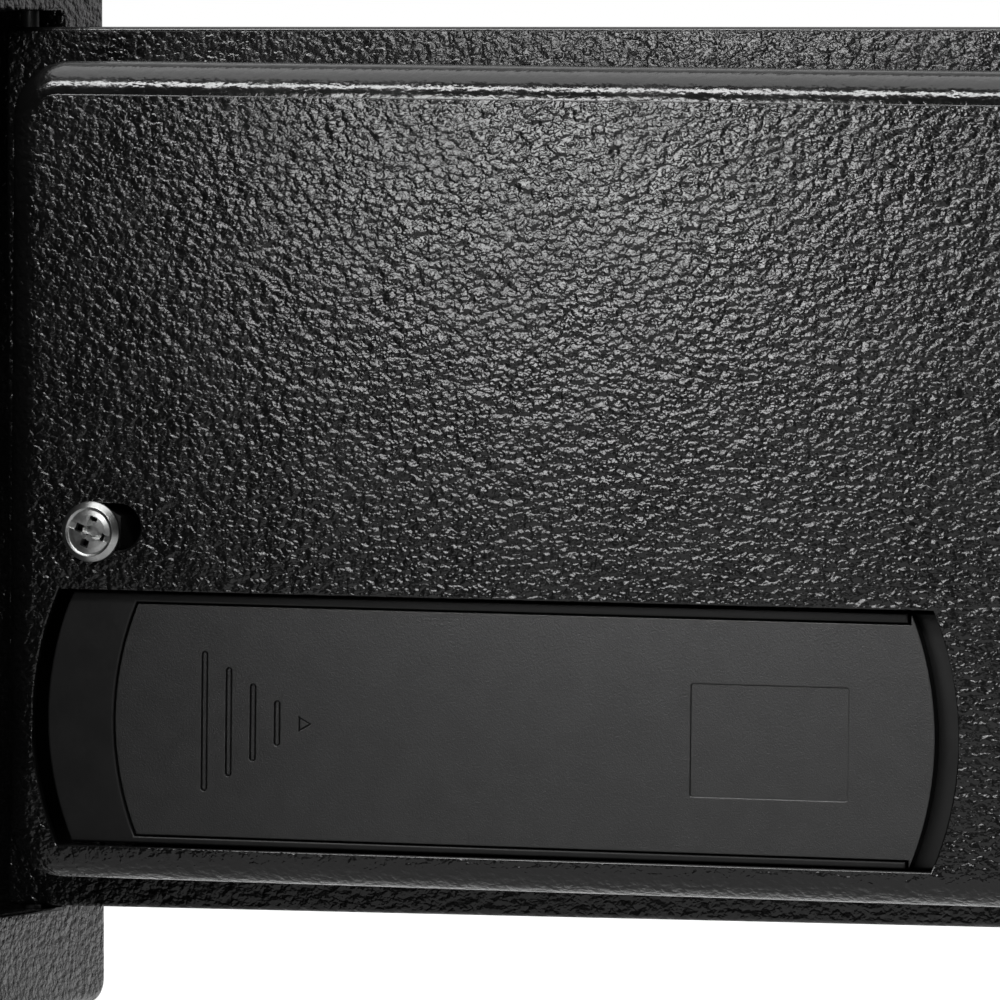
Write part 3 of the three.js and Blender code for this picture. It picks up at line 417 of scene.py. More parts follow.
    def lettering(self, text: str, size: float, height: float, matrix: Matrix) -> None:
        """Add plain raised characters.

        Args:
            text: the characters.
            size: their type size, in mm.
            height: how far they stand proud.
            matrix: the frame that they are written in, x to the right and y up.
        """
        curve = bpy.data.curves.new("legend", "FONT")
        curve.body = text
        curve.size = size
        curve.extrude = height / 2
        curve.resolution_u = 3
        curve.align_x = "CENTER"
        curve.align_y = "CENTER"
        holder = bpy.data.objects.new("legend", curve)
        bpy.context.scene.collection.objects.link(holder)
        mesh = holder.evaluated_get(bpy.context.evaluated_depsgraph_get()).to_mesh()
        start = len(self.points)
        self.points.extend(matrix @ v.co for v in mesh.vertices)
        for polygon in mesh.polygons:
            self.face(tuple(start + v for v in polygon.vertices))
        holder.to_mesh_clear()
        bpy.data.objects.remove(holder)
        bpy.data.curves.remove(curve)


@dataclass(frozen=True)
class Flutes:
    """Hollows along the side of a turned piece, which run out below a height."""

    count: int
    depth: float
    start: float
    end: float

    def depth_at(self, angle: float, height: float) -> float:
        """Give the hollow's depth at an angle and a height."""
        fade = min(max((height - self.start) / (self.end - self.start), 0), 1)
        wave = 0.5 + 0.5 * math.cos(self.count * angle)
        return self.depth * wave**2 * fade * fade * (3 - 2 * fade)


def eased(level: float, ease: Ease, direction: int) -> Profile:
    """Round an edge.

    Args:
        level: the height of the flat face that the edge borders.
        ease: the rounding.
        direction: 1 where the face looks up, -1 where it looks down.

    Returns:
        Pairs of inset and height, from the wall to just inside the flat face.
    """
    if ease.radius <= 0:
        return [(0.0, level)]
    radius = ease.radius
    turns = [math.radians(90 * i / ease.steps) for i in range(ease.steps + 1)]
    run = [(radius * (1 - math.cos(t)), level - direction * radius * (1 - math.sin(t))) for t in turns]
    return [*run, (radius + ease.support, level)]


def filleted(points: Profile, radius: float, steps: int = 4) -> Profile:
    """Round the inner corners of an open run of points by up to a radius."""
    made = [points[0]]
    for before, here, after in zip(points, points[1:], points[2:]):
        here, before, after = Vector(here), Vector(before), Vector(after)
        back, ahead = before - here, after - here
        if abs(back.normalized().cross(ahead.normalized())) < 1e-3:
            made.append(tuple(here))
            continue
        half = back.angle(ahead) / 2
        reach = min(radius / math.tan(half), back.length * 0.45, ahead.length * 0.45)
        first = here + back.normalized() * reach
        last = here + ahead.normalized() * reach
        for i in range(steps + 1):
            t = i / steps
            made.append(tuple(first * (1 - t) ** 2 + here * 2 * t * (1 - t) + last * t * t))
    return [*made, points[-1]]


def coil(start: float, end: float, turns: int, steps: int, radii: tuple[float, float]) -> list[Vector]:
    """Points along a wire wound about the z line.

    Args:
        start, end: the heights that it runs between.
        turns, steps: how many turns it has, and how many points to a turn.
        radii: its radius at the start and at the end.

    Returns:
        The points, from the start.
    """
    points = []
    for i in range(turns * steps + 1):
        share = i / (turns * steps)
        angle = math.tau * turns * share
        radius = radii[0] + (radii[1] - radii[0]) * share
        height = start + (end - start) * share
        points.append(Vector((radius * math.cos(angle), radius * math.sin(angle), height)))
    return points


# Materials


def linear(colour: str) -> tuple[float, float, float, float]:
    """Turn an sRGB hex colour to linear RGBA."""
    parts = [int(colour[i : i + 2], 16) / 255 for i in (1, 3, 5)]
    return (*(p / 12.92 if p <= 0.04045 else ((p + 0.055) / 1.055) ** 2.4 for p in parts), 1.0)


def add_node(tree: Tree, kind: str, links: dict | None = None, **settings: object) -> bpy.types.Node:
    """Add a node with its settings and links.

    Args:
        tree: the node tree.
        kind: the node's type, without its ShaderNode prefix.
        links: for each input, a socket to link or a value to set.
        settings: the node's own properties.

    Returns:
        The node.
    """
    node = tree.nodes.new("ShaderNode" + kind)
    for name, value in settings.items():
        setattr(node, name, value)
    for key, value in (links or {}).items():
        if isinstance(value, Socket):
            tree.links.new(value, node.inputs[key])
        else:
            node.inputs[key].default_value = value
    return node


def noise(tree: Tree, coords: Socket, size: float, detail: float = 2.0, **extra: float) -> bpy.types.Node:
    """Add a noise whose features are about a size in mm apart."""
    links = {"Vector": coords, "Scale": 1 / (size * MM), "Detail": detail}
    return add_node(tree, "TexNoise", {**links, **extra})


def spread(tree: Tree, value: Socket, low: float, high: float, to: tuple[float, float] = (0, 1)) -> Socket:
    """Map a value's range to another, smoothly and clamped."""
    links = {"Value": value, "From Min": low, "From Max": high, "To Min": to[0], "To Max": to[1]}
    return add_node(tree, "MapRange", links, interpolation_type="SMOOTHSTEP").outputs["Result"]


def combine(tree: Tree, operation: str, first: Socket | float, second: Socket | float) -> Socket:
    """Put two numbers together."""
    return add_node(tree, "Math", {0: first, 1: second}, operation=operation).outputs["Value"]


def stretched(tree: Tree, coords: Socket, scale: tuple[float, float, float]) -> Socket:
    """Stretch the coordinates, so that a noise becomes streaks."""
    return add_node(tree, "Mapping", {"Vector": coords, "Scale": scale}).outputs["Vector"]


class Working(Enum):
    """How a surface was made, which sets its fine relief."""

    MOULDED = "spark-eroded mould grain"
    POLISHED = "polished mould"
    PLATED = "barrel plated"
    TURNED = "turned or drawn, with lines round it"
    FELTED = "needled fibres"
    WOUND = "wire wound in layers"


@dataclass(frozen=True)
class Finish:
    """A surface finish, from what the real one is and how it was made.

    Attributes:
        name: its common name.
        slot: the record's material slot.
        colour, shade: its colour, and that of its darker patches, as sRGB hex.
        roughness: its lowest and highest roughness.
        working: how its surface was made.
        grain: the size of its relief, in mm.
        relief: how deep that relief is, in mm.
        metallic: 1 for a metal.
        specular: the reflection at its surface, 0.5 for a common plastic or paint.
    """

    name: str
    slot: str
    colour: str
    shade: str
    roughness: tuple[float, float] = (0.4, 0.5)
    working: Working = Working.MOULDED
    grain: float = 0.3
    relief: float = 0.01
    metallic: float = 0.0
    specular: float = 0.5

    def height(self, tree: Tree, coords: Socket) -> Socket:
        """Draw the relief, from 0 to 1."""
        if self.working is Working.TURNED:
            coords = stretched(tree, coords, (0.06, 0.06, 1))
        if self.working is Working.FELTED:
            across = stretched(tree, coords, (1, 0.12, 1))
            along = stretched(tree, coords, (0.12, 1, 1))
            first = noise(tree, across, self.grain, 3, Distortion=0.8).outputs["Fac"]
            second = noise(tree, along, self.grain, 3, Distortion=0.8).outputs["Fac"]
            return combine(tree, "MAXIMUM", first, second)
        if self.working is Working.WOUND:
            links = {"Vector": coords, "Scale": 1 / (self.grain * MM * math.tau), "Distortion": 0.3}
            return add_node(tree, "TexWave", links, bands_direction="Z").outputs["Fac"]
        return noise(tree, coords, self.grain, 3, Roughness=0.6).outputs["Fac"]

    def patches(self, tree: Tree, coords: Socket) -> Socket:
        """Draw slow variation over the surface, from 0 to 1."""
        slow = noise(tree, coords, self.grain * 14, 3).outputs["Fac"]
        fast = noise(tree, coords, self.grain * 1.5, 2).outputs["Fac"]
        both = combine(tree, "ADD", slow, combine(tree, "MULTIPLY", fast, 0.6))
        return spread(tree, both, 0.55, 1.05)

    def shine(self, tree: Tree, patches: Socket) -> Socket:
        """Give the roughness, which follows the patches."""
        return spread(tree, patches, 0, 1, self.roughness)

    def material(self) -> bpy.types.Material:
        """Make the material, once."""
        made = bpy.data.materials.get(self.name)
        if made:
            return made
        made = bpy.data.materials.new(self.name)
        made.use_nodes = True
        tree = made.node_tree
        tree.nodes.clear()
        coords = add_node(tree, "TexCoord").outputs["Object"]
        patches = self.patches(tree, coords)
        # The mix node has its colours at inputs 6 and 7 and gives one at output 2
        ramp = {"Factor": patches, 6: linear(self.shade), 7: linear(self.colour)}
        colour = add_node(tree, "Mix", ramp, data_type="RGBA").outputs[2]
        relief = {"Height": self.height(tree, coords), "Distance": self.relief * MM, "Strength": 1.0}
        surface = {
            "Base Color": colour,
            "Roughness": self.shine(tree, patches),
            "Normal": add_node(tree, "Bump", relief).outputs["Normal"],
            "Metallic": self.metallic,
        }
        if not self.metallic:
            surface["Specular IOR Level"] = self.specular
        shader = add_node(tree, "BsdfPrincipled", surface)
        add_node(tree, "OutputMaterial", {"Surface": shader.outputs["BSDF"]})
        return made


@dataclass(frozen=True)
class PowderCoat(Finish):
    """Textured powder coat: glossy lumps on the flats, which flow smooth round the bends.

    Attributes:
        lump: the distance from lump to lump, in mm.
        smooth: how much of the relief is left on a bend that faces up.
        pull: how closely the lumps follow each other along x, y and z.
        waver: how far the lumps are pushed out of round, as a share of their distance.
        steep: how steeply a lump falls to the valley round it.
    """

    lump: float = 0.95
    smooth: float = 0.2
    pull: tuple[float, float, float] = (0.9, 0.8, 1)
    waver: float = 1.2
    steep: float = 1.5

    def height(self, tree: Tree, coords: Socket) -> Socket:
        """Draw round lumps parted by narrow valleys, fading on the bends that face up."""
        flat = stretched(tree, coords, self.pull)
        bent = noise(tree, flat, self.lump * 0.8, 1.0).outputs["Color"]
        push = {0: bent, 3: self.lump * MM * self.waver}
        shift = add_node(tree, "VectorMath", push, operation="SCALE").outputs["Vector"]
        moved = add_node(tree, "VectorMath", {0: flat, 1: shift}, operation="ADD").outputs["Vector"]
        cells = {"Vector": moved, "Scale": 1 / (self.lump * MM), "Smoothness": 0.5, "Randomness": 1.0}
        near = add_node(tree, "TexVoronoi", cells, feature="SMOOTH_F1").outputs["Distance"]
        domes = combine(tree, "SUBTRACT", 1.0, combine(tree, "POWER", near, self.steep))
        swell = noise(tree, flat, self.lump * 1.8, 0.5).outputs["Fac"]
        return combine(tree, "MULTIPLY", combine(tree, "ADD", domes, swell), self.flatness(tree))

    def flatness(self, tree: Tree) -> Socket:
        """Give 1 on the flat faces and less on the bends that face up, where the coat flowed out."""
        normal = add_node(tree, "TexCoord").outputs["Normal"]
        rise = add_node(tree, "SeparateXYZ", {0: normal}).outputs[2]
        level = combine(tree, "SUBTRACT", 1.0, combine(tree, "MULTIPLY", rise, rise))
        bend = combine(tree, "MULTIPLY", rise, combine(tree, "POWER", level, 0.5))
        return spread(tree, bend, 0.015, 0.07, (1.0, self.smooth))

    def shine(self, tree: Tree, patches: Socket) -> Socket:
        """Give the roughness, which is lower where the coat flowed out."""
        glossier = spread(tree, self.flatness(tree), self.smooth, 1.0, (0.7, 1.0))
        return combine(tree, "MULTIPLY", super().shine(tree, patches), glossier)


# Textured black powder coat: near-black satin lumps that each catch a small highlight
COAT = PowderCoat(
    "textured_black_powder_coat", "powder_coat", "#0b0b0b", "#090909", (0.2, 0.26),
    grain=0.8, relief=0.22,
)
# Lightly grained mould surface of the lid and the keypad: a soft dark grey with fine specks
GRAINED_ABS = Finish(
    "spark_eroded_black_abs", "black_plastic", "#121212", "#101010", (0.38, 0.42),
    grain=0.24, relief=0.06, specular=0.76,
)
# Smoother moulding of the battery box: a darker, quieter black than the lid's
SATIN_ABS = Finish(
    "satin_black_abs", "black_plastic", "#101010", "#0e0e0e", (0.42, 0.48), Working.POLISHED,
    grain=0.5, relief=0.006, specular=0.34,
)
# Near-black steel on the hinge pins and the posts, partly painted shade: the pins' black is the door's own
# coat and also the shade of the gap above the door, and the zinc posts are painted black as the shade seen
# through the screws' slotted holes
DARK_STEEL_AND_PAINTED_SHADE = Finish(
    "dark_steel_and_painted_shade", "steel", "#161616", "#121212", (0.45, 0.55), Working.PLATED,
    grain=0.4, relief=0.004,
)
# Clear zinc plate on the screws and brackets: a pale grey metal with a soft, slightly cloudy shine
ZINC = Finish(
    "clear_zinc_plate", "zinc", "#c6c7c6", "#a8a9a8", (0.3, 0.38), Working.PLATED,
    grain=0.25, relief=0.004, metallic=1.0,
)
# Bright drawn steel: a cool grey metal with faint lines round it that draw out its highlights
STEEL = Finish(
    "bright_drawn_steel", "steel", "#a9abac", "#8d8f91", (0.28, 0.42), Working.TURNED,
    grain=0.2, relief=0.006, metallic=1.0,
)
# Nickel plate on the bolts and the lock: a warm white metal, nearly a mirror
NICKEL = Finish(
    "bright_nickel_plate", "chrome", "#cfcdc8", "#bdbbb7", (0.1, 0.18), Working.PLATED,
    grain=0.5, relief=0.002, metallic=1.0,
)
# Machined brass: a soft yellow metal with faint turning lines
BRASS = Finish(
    "machined_brass", "brass", "#c6a25a", "#a98845", (0.24, 0.36), Working.TURNED,
    grain=0.2, relief=0.006, metallic=1.0,
)
# Enamelled copper wire in layers: a red-brown sheen broken into fine rings
COPPER = Finish(
    "enamelled_copper_wire", "copper", "#a4552a", "#7f3d1c", (0.25, 0.35), Working.WOUND,
    grain=0.35, relief=0.12, metallic=1.0,
)
# Needle felt: a dull dark grey with crossing fibres and no shine at all
FELT = Finish(
    "grey_needle_felt", "felt", "#47484a", "#333436", (0.95, 1.0), Working.FELTED,
    grain=0.35, relief=0.3,
)
# Moulded rubber: a dusty black that only edges brighten
RUBBER = Finish("moulded_black_rubber", "rubber", "#2a2a2b", "#212122", (0.7, 0.82), grain=0.4, relief=0.01)
# Solder resist over laminate: a glossy dark green with slight waves
LAMINATE = Finish(
    "green_solder_resist", "laminate", "#1f5a33", "#184726", (0.3, 0.42), grain=0.5, relief=0.01
)
# Printed shrink sleeve of the cells, in a plain blue with a crisp gloss
SLEEVE = Finish(
    "blue_printed_sleeve", "cell_sleeve", "#2d5784", "#274c74", (0.22, 0.3), Working.POLISHED, relief=0.002
)
# The sleeve's pale band at the button end: a flat silver print under the same gloss
SLEEVE_BAND = Finish(
    "silver_printed_sleeve", "cell_sleeve", "#b9bcc0", "#a9acb0", (0.25, 0.35), Working.POLISHED, relief=0.002
)
# Key tops: a warm light grey with a fine, even mould grain
KEY_ABS = Finish(
    "light_grey_abs", "key_plastic", "#d2d2cd", "#c6c6c1", (0.42, 0.52), grain=0.25, relief=0.008
)
# Ink of the characters on the keys: soft black, a little duller than the key
LEGEND = Finish(
    "black_printing_ink", "key_plastic", "#242526", "#1d1e1f", (0.45, 0.55), grain=0.2, relief=0.004
)
# Ink of the knob's pointer line: a plain off-white that stands out from afar
WHITE_INK = Finish(
    "white_printing_ink", "black_plastic", "#dcdcd8", "#cfcfca", (0.45, 0.55), grain=0.2, relief=0.004
)
# Tinted plastic of the lamps and the reset button: a strong colour under a hard gloss
RED_ABS, AMBER_ABS, GREEN_ABS = (
    Finish(name + "_tinted_abs", name + "_plastic", colour, shade, (0.2, 0.3), Working.POLISHED, relief=0.002)
    for name, colour, shade in (
        ("red", "#b3221c", "#9a1c17"),
        ("amber", "#d18d1f", "#bb7b18"),
        ("green", "#2f9344", "#277d39"),
    )
)


# Pieces


def keep_shape(obj: bpy.types.Object) -> None:
    """Apply the object's modifiers to its mesh."""
    evaluated = obj.evaluated_get(bpy.context.evaluated_depsgraph_get())
    made = bpy.data.meshes.new_from_object(evaluated)
    obj.modifiers.clear()
    obj.data = made


def mesh_of(form: Form, name: str, place: Matrix, finishes: tuple[Finish, ...]) -> bpy.types.Object:
    """Make a form's object, its place in its mesh."""
    mesh = bpy.data.meshes.new(name)
    mesh.from_pydata([tuple(p) for p in form.points], [], form.faces)
    for finish in finishes:
        mesh.materials.append(finish.material())
    mesh.polygons.foreach_set("material_index", form.paints)
    work = bmesh.new()
    work.from_mesh(mesh)
    bmesh.ops.remove_doubles(work, verts=work.verts, dist=0.0005)
    work.to_mesh(mesh)
    work.free()
    mesh.transform(Matrix.Scale(MM, 4) @ place)
    obj = bpy.data.objects.new(name, mesh)
    bpy.context.scene.collection.objects.link(obj)
    return obj


def cut_from(obj: bpy.types.Object, cutters: list[Form], place: Matrix) -> None:
    """Cut forms from an object with exact booleans."""
    tools = []
    for i, form in enumerate(cutters):
        tool = mesh_of(form, f"cutter_{i}", place, ())
        tools.append(tool)
        modifier = obj.modifiers.new("cut", "BOOLEAN")
        modifier.object = tool
        modifier.solver = "EXACT"
    bpy.context.view_layer.update()
    keep_shape(obj)
    for tool in tools:
        bpy.data.objects.remove(tool)


def weigh(obj: bpy.types.Object) -> None:
    """Let large flat faces set the shading of their borders, after a cut."""
    modifier = obj.modifiers.new("weighted", "WEIGHTED_NORMAL")
    modifier.keep_sharp = True


def settle(obj: bpy.types.Object, *nodes: str, slot: str, sharp: float = 34.0) -> bpy.types.Object:
    """Shade a piece, set it to ride on its nodes' body, and let it stand for them.

    Args:
        obj: the piece.
        nodes: the CAD nodes that it replaces.
        slot: the record's material slot; not used.
        sharp: edges that turn by more than this many degrees stay crisp.

    Returns:
        The piece.
    """
    obj.data.shade_smooth()
    obj.data.set_sharp_from_angle(angle=math.radians(sharp))
    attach(obj, NODE_BODY[nodes[0]])
    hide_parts(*nodes)
    LOG.info("piece %s rides on %s", obj.name, NODE_BODY[nodes[0]])
    return obj


def piece(form: Form, node: str, place: Matrix, *finishes: Finish, sharp: float = 34.0) -> bpy.types.Object:
    """Make a piece from a form and let it stand for one CAD node."""
    obj = mesh_of(form, node + "_finished", place, finishes)
    return settle(obj, node, slot=finishes[0].slot, sharp=sharp)


def dress(finish: Finish, *nodes: str) -> None:
    """Give CAD nodes that stay a better material."""
    for node in nodes:
        mesh = frame["nodes"][node].data
        mesh.materials.clear()
        mesh.materials.append(finish.material())
        LOG.info("node %s keeps its solid", node)


# Sub-assemblies

SPINDLE_AXIS = (150, 74)
LOCK_AXIS = (124, 97.7)


@dataclass(frozen=True)
class FormedBox:
    """A box pressed or folded from sheet: its open side at the bottom, its face at the top.

    Attributes:
        left, right, low, high: its outline.
        bottom, top: the levels of its open edge and its face.
        corner: the radius of its upright corners.
        bend: the outside radius from its walls to its face.
        sheet: how thick the sheet is.
    """

    left: float
    right: float
    low: float
    high: float
    bottom: float
    top: float
    corner: float
    bend: float
    sheet: float

    def skin(self, inset: float, steps: int) -> tuple[Loop, Profile]:
        """Give the outline and the profile of a skin that lies a distance inside the outer one."""
        sides = (self.left + inset, self.right - inset, self.low + inset, self.high - inset)
        top = self.top - inset
        bend = Ease(self.bend - inset, steps)
        bands = 4
        rise = (top - bend.radius - self.bottom) / bands
        uprights = [(0.0, self.bottom + rise * i) for i in range(bands)]
        return rounded(*sides, self.corner - inset, 8), [*uprights, *eased(top, bend, 1)]

    def draw(self, form: Form, holes: tuple[Hole, ...]) -> None:
        """Draw both skins, the open edge and the holes in the face."""
        outer_loop, outer_profile = self.skin(0, 12)
        inner_loop, inner_profile = self.skin(self.sheet, 8)
        outer_start = len(form.points)
        outer_top = form.walls(outer_loop, outer_profile)
        inner_start = len(form.points)
        inner_top = form.walls(inner_loop, inner_profile)
        self.flip(form, inner_start)
        outer_rim = list(range(outer_start, outer_start + len(outer_loop)))
        inner_rim = list(range(inner_start, inner_start + len(inner_loop)))
        form.bridge(inner_rim, outer_rim)
        tops, bottoms = [], []
        for hole in holes:
            first = len(form.points)
            profile = [(0.0, self.top - self.sheet), *eased(self.top, hole.ease, 1)]
            tops.append(form.walls(hole.loop, profile, hollow=True))
            bottoms.append(list(range(first, first + len(hole.loop))))
        form.fill(outer_top, tops)
        form.fill(inner_top, bottoms, up=False)

    @staticmethod
    def flip(form: Form, start: int) -> None:
        """Turn round the faces whose points all come from a number on."""
        for i, corners in enumerate(form.faces):
            if min(corners) >= start:
                form.faces[i] = corners[::-1]


@dataclass
class SafeBody:
    """The body: a wrap with its front folded in, a back panel, a mat and two plugs.

    Attributes:
        width, height, depth: its outside.
        sheet, panel: how thick the wrap and the back panel are.
        edge_radius, fold_radius: how the wrap is bent along the safe, and round its front.
        side_strip, low_strip: how wide the folded front is, and how wide below the door.
        lap: the gap between pieces that lie on each other.
        mat_width, mat_depth, mat_thickness: the mat.
        mat_rear: where the mat ends at the back.
        hole_diameter, hole_spacing, hole_height: the anchor holes.
    """

    width: float = 230
    height: float = 170
    depth: float = 170
    sheet: float = 1.2
    panel: float = 1.5
    edge_radius: float = 4
    fold_radius: float = 1.8
    side_strip: float = 14
    low_strip: float = 16
    lap: float = 0.1
    mat_width: float = 216
    mat_depth: float = 150
    mat_thickness: float = 3
    mat_rear: float = 80
    hole_diameter: float = 10
    hole_spacing: float = 120
    hole_height: float = 85

    def build(self) -> None:
        """Build and dress every piece of the body."""
        self.wrap()
        self.back()
        self.mat()
        for side, name in ((-1, "left"), (1, "right")):
            self.plug(side, "anchor_plug_" + name)
        dress(COAT, "front_frame")

    def wrap(self) -> None:
        """Build the wrap with its folded front."""
        half = self.width / 2
        deep = self.depth / 2
        side = half - self.side_strip
        opening = rounded(-side, side, self.low_strip, self.height - self.side_strip, 1.0, 4)
        outline = (-half, half, 0, self.height, -deep, deep)
        form = Form()
        box = FormedBox(*outline, self.edge_radius, self.fold_radius, self.sheet)
        box.draw(form, (Hole(opening, Ease(0.5, 3)),))
        piece(form, "body_shell", Place.BODY, COAT)

    def back(self) -> None:
        """Build the back panel with its two anchor holes."""
        edge = self.sheet + self.lap
        half = self.width / 2 - edge
        rear = -self.depth / 2
        spots = [side * self.hole_spacing / 2 for side in (-1, 1)]
        holes = tuple(Hole(circle(x, self.hole_height, self.hole_diameter), SOFT) for x in spots)
        form = Form()
        outline = rounded(-half, half, edge, self.height - edge, self.edge_radius - edge)
        form.slab(outline, rear, rear + self.panel, holes, top=SLIGHT, bottom=SOFT)
        piece(form, "back_panel", Place.BODY, COAT)

    def mat(self) -> None:
        """Build the felt mat, its cut edges a little rounded."""
        form = Form()
        half = self.mat_width / 2
        flat = axes((0, 0, self.sheet + self.lap), (1, 0, 0), (0, 1, 0), (0, 0, 1))
        outline = rounded(-half, half, self.mat_rear - self.mat_depth, self.mat_rear, 2.0)
        form.slab(outline, 0, self.mat_thickness, top=Ease(0.7, 4), bottom=SOFT)
        mat = piece(form, "floor_mat", flat, FELT)

    def plug(self, side: int, node: str) -> None:
        """Build a rubber plug, its head inside the safe."""
        stem, flange, crown = 4.7, 7.2, 6.6
        rear = -self.depth / 2
        start = rear + 0.3
        seat = rear + self.panel + self.lap
        top = rear + self.panel + 1.8
        outline = [(0, start), (stem, start), (stem, seat), (flange, seat), (crown, top), (0, top)]
        form = Form()
        form.turned(filleted(outline, 0.5), 40)
        spot = Matrix.Translation((side * self.hole_spacing / 2, self.hole_height, 0))
        piece(form, node, Place.BODY @ spot, RUBBER)


@dataclass
class DoorLeaf:
    """The door plate and the pins that it swings on.

    Attributes:
        width, height, thickness: the plate.
        spindle_hole, lock_hole: the diameters of its round holes.
        wire_slot: the left, right, low, high and corner of the slot for the wires.
        stud_columns, stud_rows: where the studs of the circuit board stand.
        pin_radius: the radius of a hinge pin.
        pins: each pin's node, and how far it reaches from one height to another.
    """

    width: float = 198.6
    height: float = 137
    thickness: float = 5
    spindle_hole: float = 10.4
    lock_hole: float = 16.4
    wire_slot: tuple = (64, 84, 113, 119, 2)
    stud_columns: tuple = (45, 103)
    stud_rows: tuple = (65, 119)
    pin_radius: float = 1.35
    pins: tuple = (("hinge_pin_top", 128.3, 147.5), ("hinge_pin_bottom", -8.5, 8.7))

    def build(self) -> None:
        """Build and dress the plate and the pins."""
        self.plate()
        for node, start, end in self.pins:
            self.pin(node, start, end)

    def plate(self) -> None:
        """Build the plate, its holes and the studs for the circuit board."""
        loops = (
            circle(*SPINDLE_AXIS, self.spindle_hole),
            circle(*LOCK_AXIS, self.lock_hole),
            rounded(*self.wire_slot),
        )
        outline = rounded(0, self.width, 0, self.height, 1.0)
        holes = tuple(Hole(loop, SOFT) for loop in loops)
        form = Form()
        form.slab(outline, -self.thickness, 0, holes, top=Ease(0.6, 4), bottom=Ease(0.8, 4))
        thick, thin = 2.2, 0.9
        root, shoulder, tip = -0.3, 3.0, 5.4
        stud = [(0, root), (thick, root), (thick, shoulder), (thin, shoulder), (thin, tip), (0, tip)]
        for u in self.stud_columns:
            for w in self.stud_rows:
                form.turned_at(u, w, filleted(stud, 0.2, 2), 20)
        piece(form, "door_plate", Place.DOOR, COAT)

    def pin(self, node: str, start: float, end: float) -> None:
        """Build a hinge pin, its ends broken."""
        form = Form()
        run = [(0, start), (self.pin_radius, start), (self.pin_radius, end), (0, end)]
        form.turned(filleted(run, 0.4), 32)
        upright = axes((3.5, 0, -1.8), (1, 0, 0), (0, 0, -1), (0, 1, 0))
        # The pins take the near-black painted shade of the gaps they stand in, over the door's own black coat
        piece(form, node, Place.DOOR @ upright, DARK_STEEL_AND_PAINTED_SHADE)


@dataclass
class InnerCover:
    """The formed cover over the mechanism, and what holds it on.

    Attributes:
        box: the cover's pressed shape.
        window: the left, right, low, high and bulge of the window for the battery box.
        screws: each screw's side of the door and its place.
        screw_hole: the diameter of the round hole.
        recess: the length, width, depth and turn of a screw's slot and of its cross's two arms.
        bolt_rows, bolt_height, bolt_hole: where the bolts pass, and the diameter of their holes.
    """

    box: FormedBox = FormedBox(
        left=12.5, right=192.0, low=6.0, high=131.0, bottom=0.2, top=34.4, corner=8.5, bend=5.0, sheet=1.2
    )
    window: tuple = (17.7, 165.7, 11.2, 50.4, 4.1)
    screws: tuple = (("hinge_side", 27.3, 59.3), ("bolt_side", 182.6, 75.0))
    screw_hole: float = 5
    recess: tuple = ((7.0, 1.1, 0.6, 0), (4.9, 1.3, 1.7, 90), (4.9, 1.3, 1.7, 0))
    bolt_rows: tuple = (36.8, 112.8)
    bolt_height: float = 9.5
    bolt_hole: float = 17

    def build(self) -> None:
        """Build and dress the cover, its screws and its posts."""
        self.cover()
        for side, u, w in self.screws:
            self.screw("cover_screw_" + side, u, w)
        # The zinc posts are painted near-black, a painted shade that shows through the screws' slotted holes
        dress(replace(DARK_STEEL_AND_PAINTED_SHADE, slot="zinc"), "cover_post_hinge_side", "cover_post_bolt_side")

    def cover(self) -> None:
        """Build the cover with its screw holes, and cut its window and the holes for the bolts."""
        (_, left, low), (_, right, high) = self.screws
        loops = (self.slotted(left, low), circle(right, high, self.screw_hole, 24))
        form = Form()
        self.box.draw(form, tuple(Hole(loop, SOFT) for loop in loops))
        obj = mesh_of(form, "door_cover_finished", Place.COVER, (COAT,))
        cut_from(obj, [self.window_cutter(), *map(self.bolt_cutter, self.bolt_rows)], Place.COVER)
        weigh(obj)
        settle(obj, "door_cover", slot=COAT.slot)

    def window_cutter(self) -> Form:
        """Draw what cuts the window, its mouth flared so that the window's edge is rounded."""
        past = 2
        top = self.box.top
        flare = [(-inset, z) for inset, z in eased(top, Ease(0.3, 4), 1)[:-1]]
        cutter = Form()
        mouth = cutter.walls(bowed(*self.window), [(0.0, top - 6), *flare, (-0.3, top + past)])
        cutter.fill(mouth, [])
        cutter.fill(list(range(len(mouth))), [], up=False)
        return cutter

    def bolt_cutter(self, w: float) -> Form:
        """Draw what cuts the hole that a bolt passes, through the cover's end wall."""
        radius = self.bolt_hole / 2
        past = 10
        cutter = Form()
        cutter.turned([(0, -past), (radius, -past), (radius, past), (0, past)], 40)
        cutter.move(axes((self.box.right, w, self.bolt_height), (0, 1, 0), (0, 0, 1), (1, 0, 0)))
        return cutter

    @staticmethod
    def slotted(u: float, w: float) -> Loop:
        """Outline the slotted hole of a screw, which reaches past its head and lies a little high."""
        half, reach, rise = 3.55, 4.2, 0.8
        return rounded(u - half, u + reach + half, w + rise - half, w + rise + half, half, 12)

    def screw(self, node: str, u: float, w: float) -> None:
        """Build a zinc-plated pan head screw with a collar, a slot and a cross."""
        core, shank, head, collar = 1.1, 1.5, 4.65, 3.75
        turn = -21
        seat = self.box.top + 0.05
        crown = seat + 1.66
        outline = [(0, seat - 8), (core, seat - 8), (shank, seat - 7.2), (shank, seat), (head - 0.25, seat)]
        outline += [(head, seat + 0.3), (head, seat + 0.8), (collar, seat + 1.6), (collar - 0.25, seat + 1.3)]
        dome = [(3.3, seat + 1.3), (2.6, seat + 1.5), (1.6, seat + 1.62), (0, crown)]
        form = Form()
        form.turned(filleted([*outline, *dome], 0.25, 3), 56)
        place = Place.COVER @ turn_about(u, w, turn) @ Matrix.Translation((u, w, 0))
        obj = mesh_of(form, node + "_finished", place, (ZINC,))
        cutters = []
        for length, width, depth, angle in self.recess:
            tool = Form()
            half, side = length / 2, width / 2
            tool.slab(rounded(-half, half, -side, side, 0.2, 3), crown - depth, seat + 6, top=SHARP)
            tool.move(Matrix.Rotation(math.radians(angle), 4, "Z"))
            cutters.append(tool)
        cut_from(obj, cutters, place)
        settle(obj, node, slot=ZINC.slot, sharp=28)


